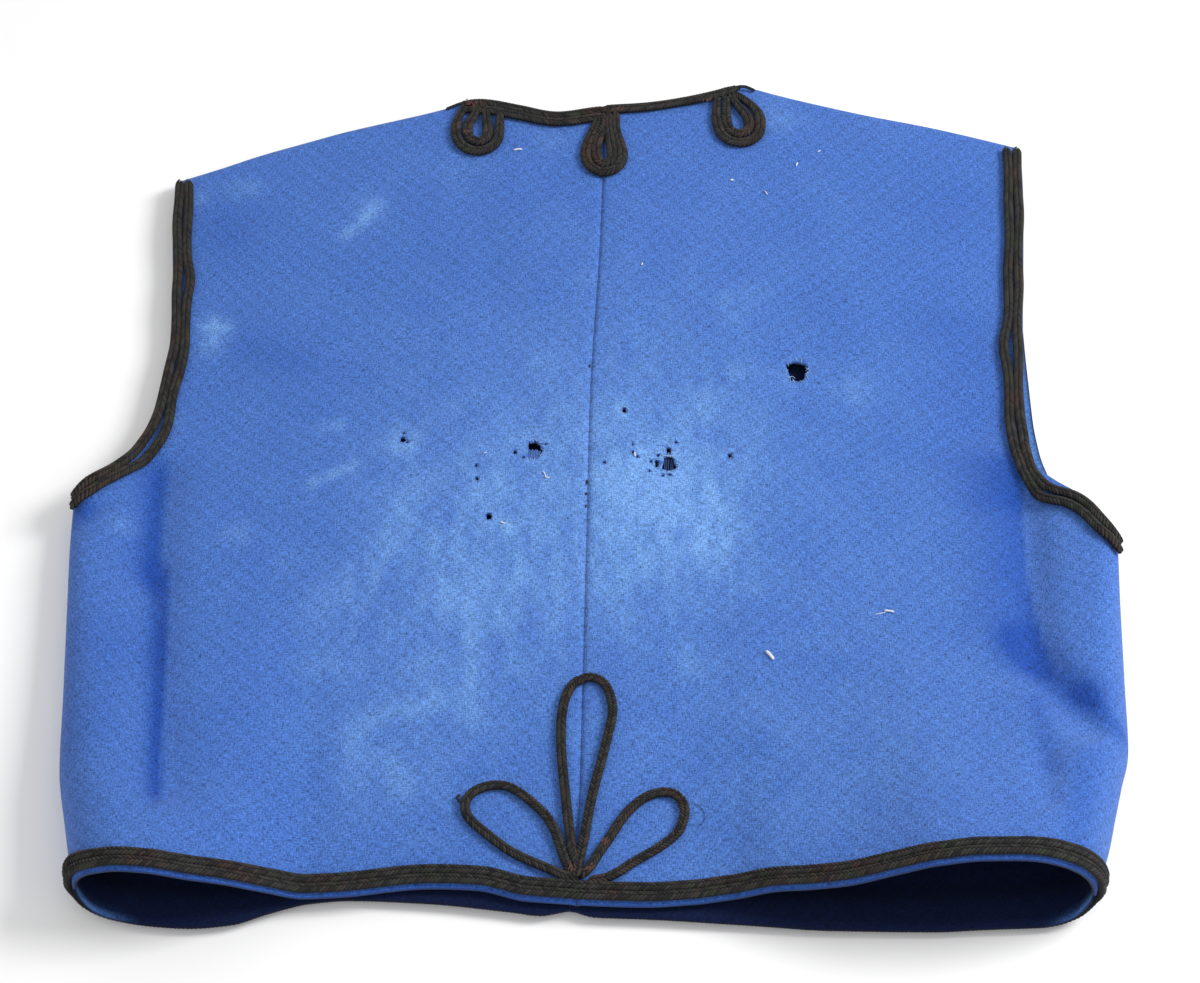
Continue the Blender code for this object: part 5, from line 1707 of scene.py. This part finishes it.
@dataclass(frozen=True)
class Studio:
    """The pale floor, the soft light and the camera.

    Args:
        lamps: Name, place, power and size of each lamp.
        wall_light: Strength of the white light from all round.
    """

    camera_place: tuple[float, float, float] = (0.00290, -0.78213, 0.98501)
    camera_tilt: float = 38.0
    lens: float = 87.21
    sensor_width: float = 36.0
    floor_size: float = 6.0
    floor_colour: Colour = (0.86, 0.86, 0.86, 1.0)
    wall_light: float = 0.70
    lamps: tuple[tuple[str, tuple[float, float, float], float, float], ...] = (
        ("key_lamp", (1.15, 0.15, 1.05), 21.0, 0.6), ("fill_lamp", (-0.5, -1.3, 1.6), 6.0, 1.4))

    def floor(self) -> None:
        """Lay the floor."""
        half = self.floor_size / 2
        mesh = bpy.data.meshes.new("floor")
        mesh.from_pydata([(-half, -half, 0), (half, -half, 0), (half, half, 0), (-half, half, 0)],
                         [], [(0, 1, 2, 3)])
        finish = PlainFinish("pale_floor", self.floor_colour, grain=3.0, spread=0.02)
        mesh.materials.append(finish.make())
        floor = put_in_scene("floor", mesh)

    def lamp(self, name: str, place: tuple[float, float, float], power: float,
             size: float) -> None:
        """Hang a soft lamp that points at the vest."""
        data = bpy.data.lights.new(name, "AREA")
        data.energy, data.size = power, size
        lamp = put_in_scene(name, data)
        lamp.location = place
        x, y, z = place
        lamp.rotation_euler = (np.arctan2(np.hypot(x, y), z), 0.0, np.arctan2(-y, -x) - np.pi / 2)

    def set_up(self) -> None:
        """Set up floor, light and camera."""
        self.floor()
        for lamp in self.lamps:
            self.lamp(*lamp)
        scene = bpy.context.scene
        scene.world = bpy.data.worlds.new("studio_walls")
        scene.world.use_nodes = True
        walls = scene.world.node_tree.nodes["Background"].inputs
        walls["Color"].default_value = (1.0, 1.0, 1.0, 1.0)
        walls["Strength"].default_value = self.wall_light
        data = bpy.data.cameras.new("camera")
        data.lens, data.sensor_width, data.sensor_fit = self.lens, self.sensor_width, "HORIZONTAL"
        scene.camera = put_in_scene("camera", data)
        scene.camera.location = self.camera_place
        scene.camera.rotation_euler = (np.radians(self.camera_tilt), 0.0, 0.0)
        scene.view_settings.view_transform = "Standard"


@dataclass
class Vest:
    """The whole vest: four panels of cloth and all of their cord."""

    lay: Lay = field(default_factory=Lay)
    # The lining is navy. Its colour here, and the back's inner face colour, are painted darker still, as
    # shade inside the vest and its hem openings.
    wool: WoolFinish = WoolFinish("blue_wool", (0.051, 0.133, 0.425, 1.0),
                                  (0.135, 0.285, 0.610, 1.0), (0.005, 0.011, 0.042, 1.0))
    lining: WoolFinish = WoolFinish("navy_wool", (0.003, 0.008, 0.038, 1.0),
                                    (0.012, 0.030, 0.110, 1.0), (0.075, 0.185, 0.490, 1.0),
                                    sheen=0.02)
    braid: CordFinish = CordFinish("black_plait")
    holes: MothHoles = field(default_factory=MothHoles)
    grids: dict[Face, tuple[int, int, int, int]] = field(default_factory=lambda: {
        Face.BACK: (34, 68, 75, 100), Face.FRONT: (24, 46, 60, 60)})

    def build_panels(self) -> dict[str, ClothPanel]:
        """Returns:
            The panels by the names of their nodes.
        """
        panels = {}
        outer, inner = self.wool.make(), self.lining.make()
        for face, finish, slot in ((Face.BACK, outer, Slot.OUTER), (Face.FRONT, inner, Slot.INNER)):
            for side in Side:
                panel = ClothPanel(pattern_of(side, face), self.lay, self.grids[face])
                piece = panel.build(finish)
                if face == Face.BACK:
                    self.holes.cut(piece, side, self.lay)
                attach(piece, slot, panel.node)
                panels[panel.node] = panel
                LOG.info("%s: %.0f by %.0f mm, %.4f square metres", piece.name,
                         panel.flat[0] / MM, panel.flat[1] / MM, panel.area)
        return panels

    def build_cords(self, panels: dict[str, ClothPanel]) -> None:
        """Build every cord on the panels."""
        plait, finish, back = PlaitTree(), self.braid.make(), OnBack(self.lay)
        cords = HemTrim().cords(panels) + NeckTrim().cords(panels)
        cords += ArmholeTrim().cords(panels, back)
        for motif in (MotifTrim(width=5.3, root_width=4.0, routes=LOOPS),
                      MotifTrim(width=4.1, root_width=4.1, routes=PETALS),
                      MotifTrim(width=4.1, root_width=4.1, routes=TREFOIL_ROOT, lift=1.0)):
            cords += motif.cords(back)
        for cord in cords:
            piece = cord.build(plait, finish)
            LOG.info("%s: %.0f mm, %d faces", piece.name, run_of(cord.route)[-1],
                     len(piece.data.polygons))

    def build(self) -> None:
        """Build the vest."""
        self.build_cords(self.build_panels())
        LooseThreads().build(OnBack(self.lay), self.holes.holes)


def main() -> None:
    """Build the vest and its studio, and note the sizes of the pieces."""
    logging.basicConfig(level=logging.INFO, format="%(message)s")
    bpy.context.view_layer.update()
    Studio().set_up()
    Vest().build()


if __name__ == "__main__":
    main()
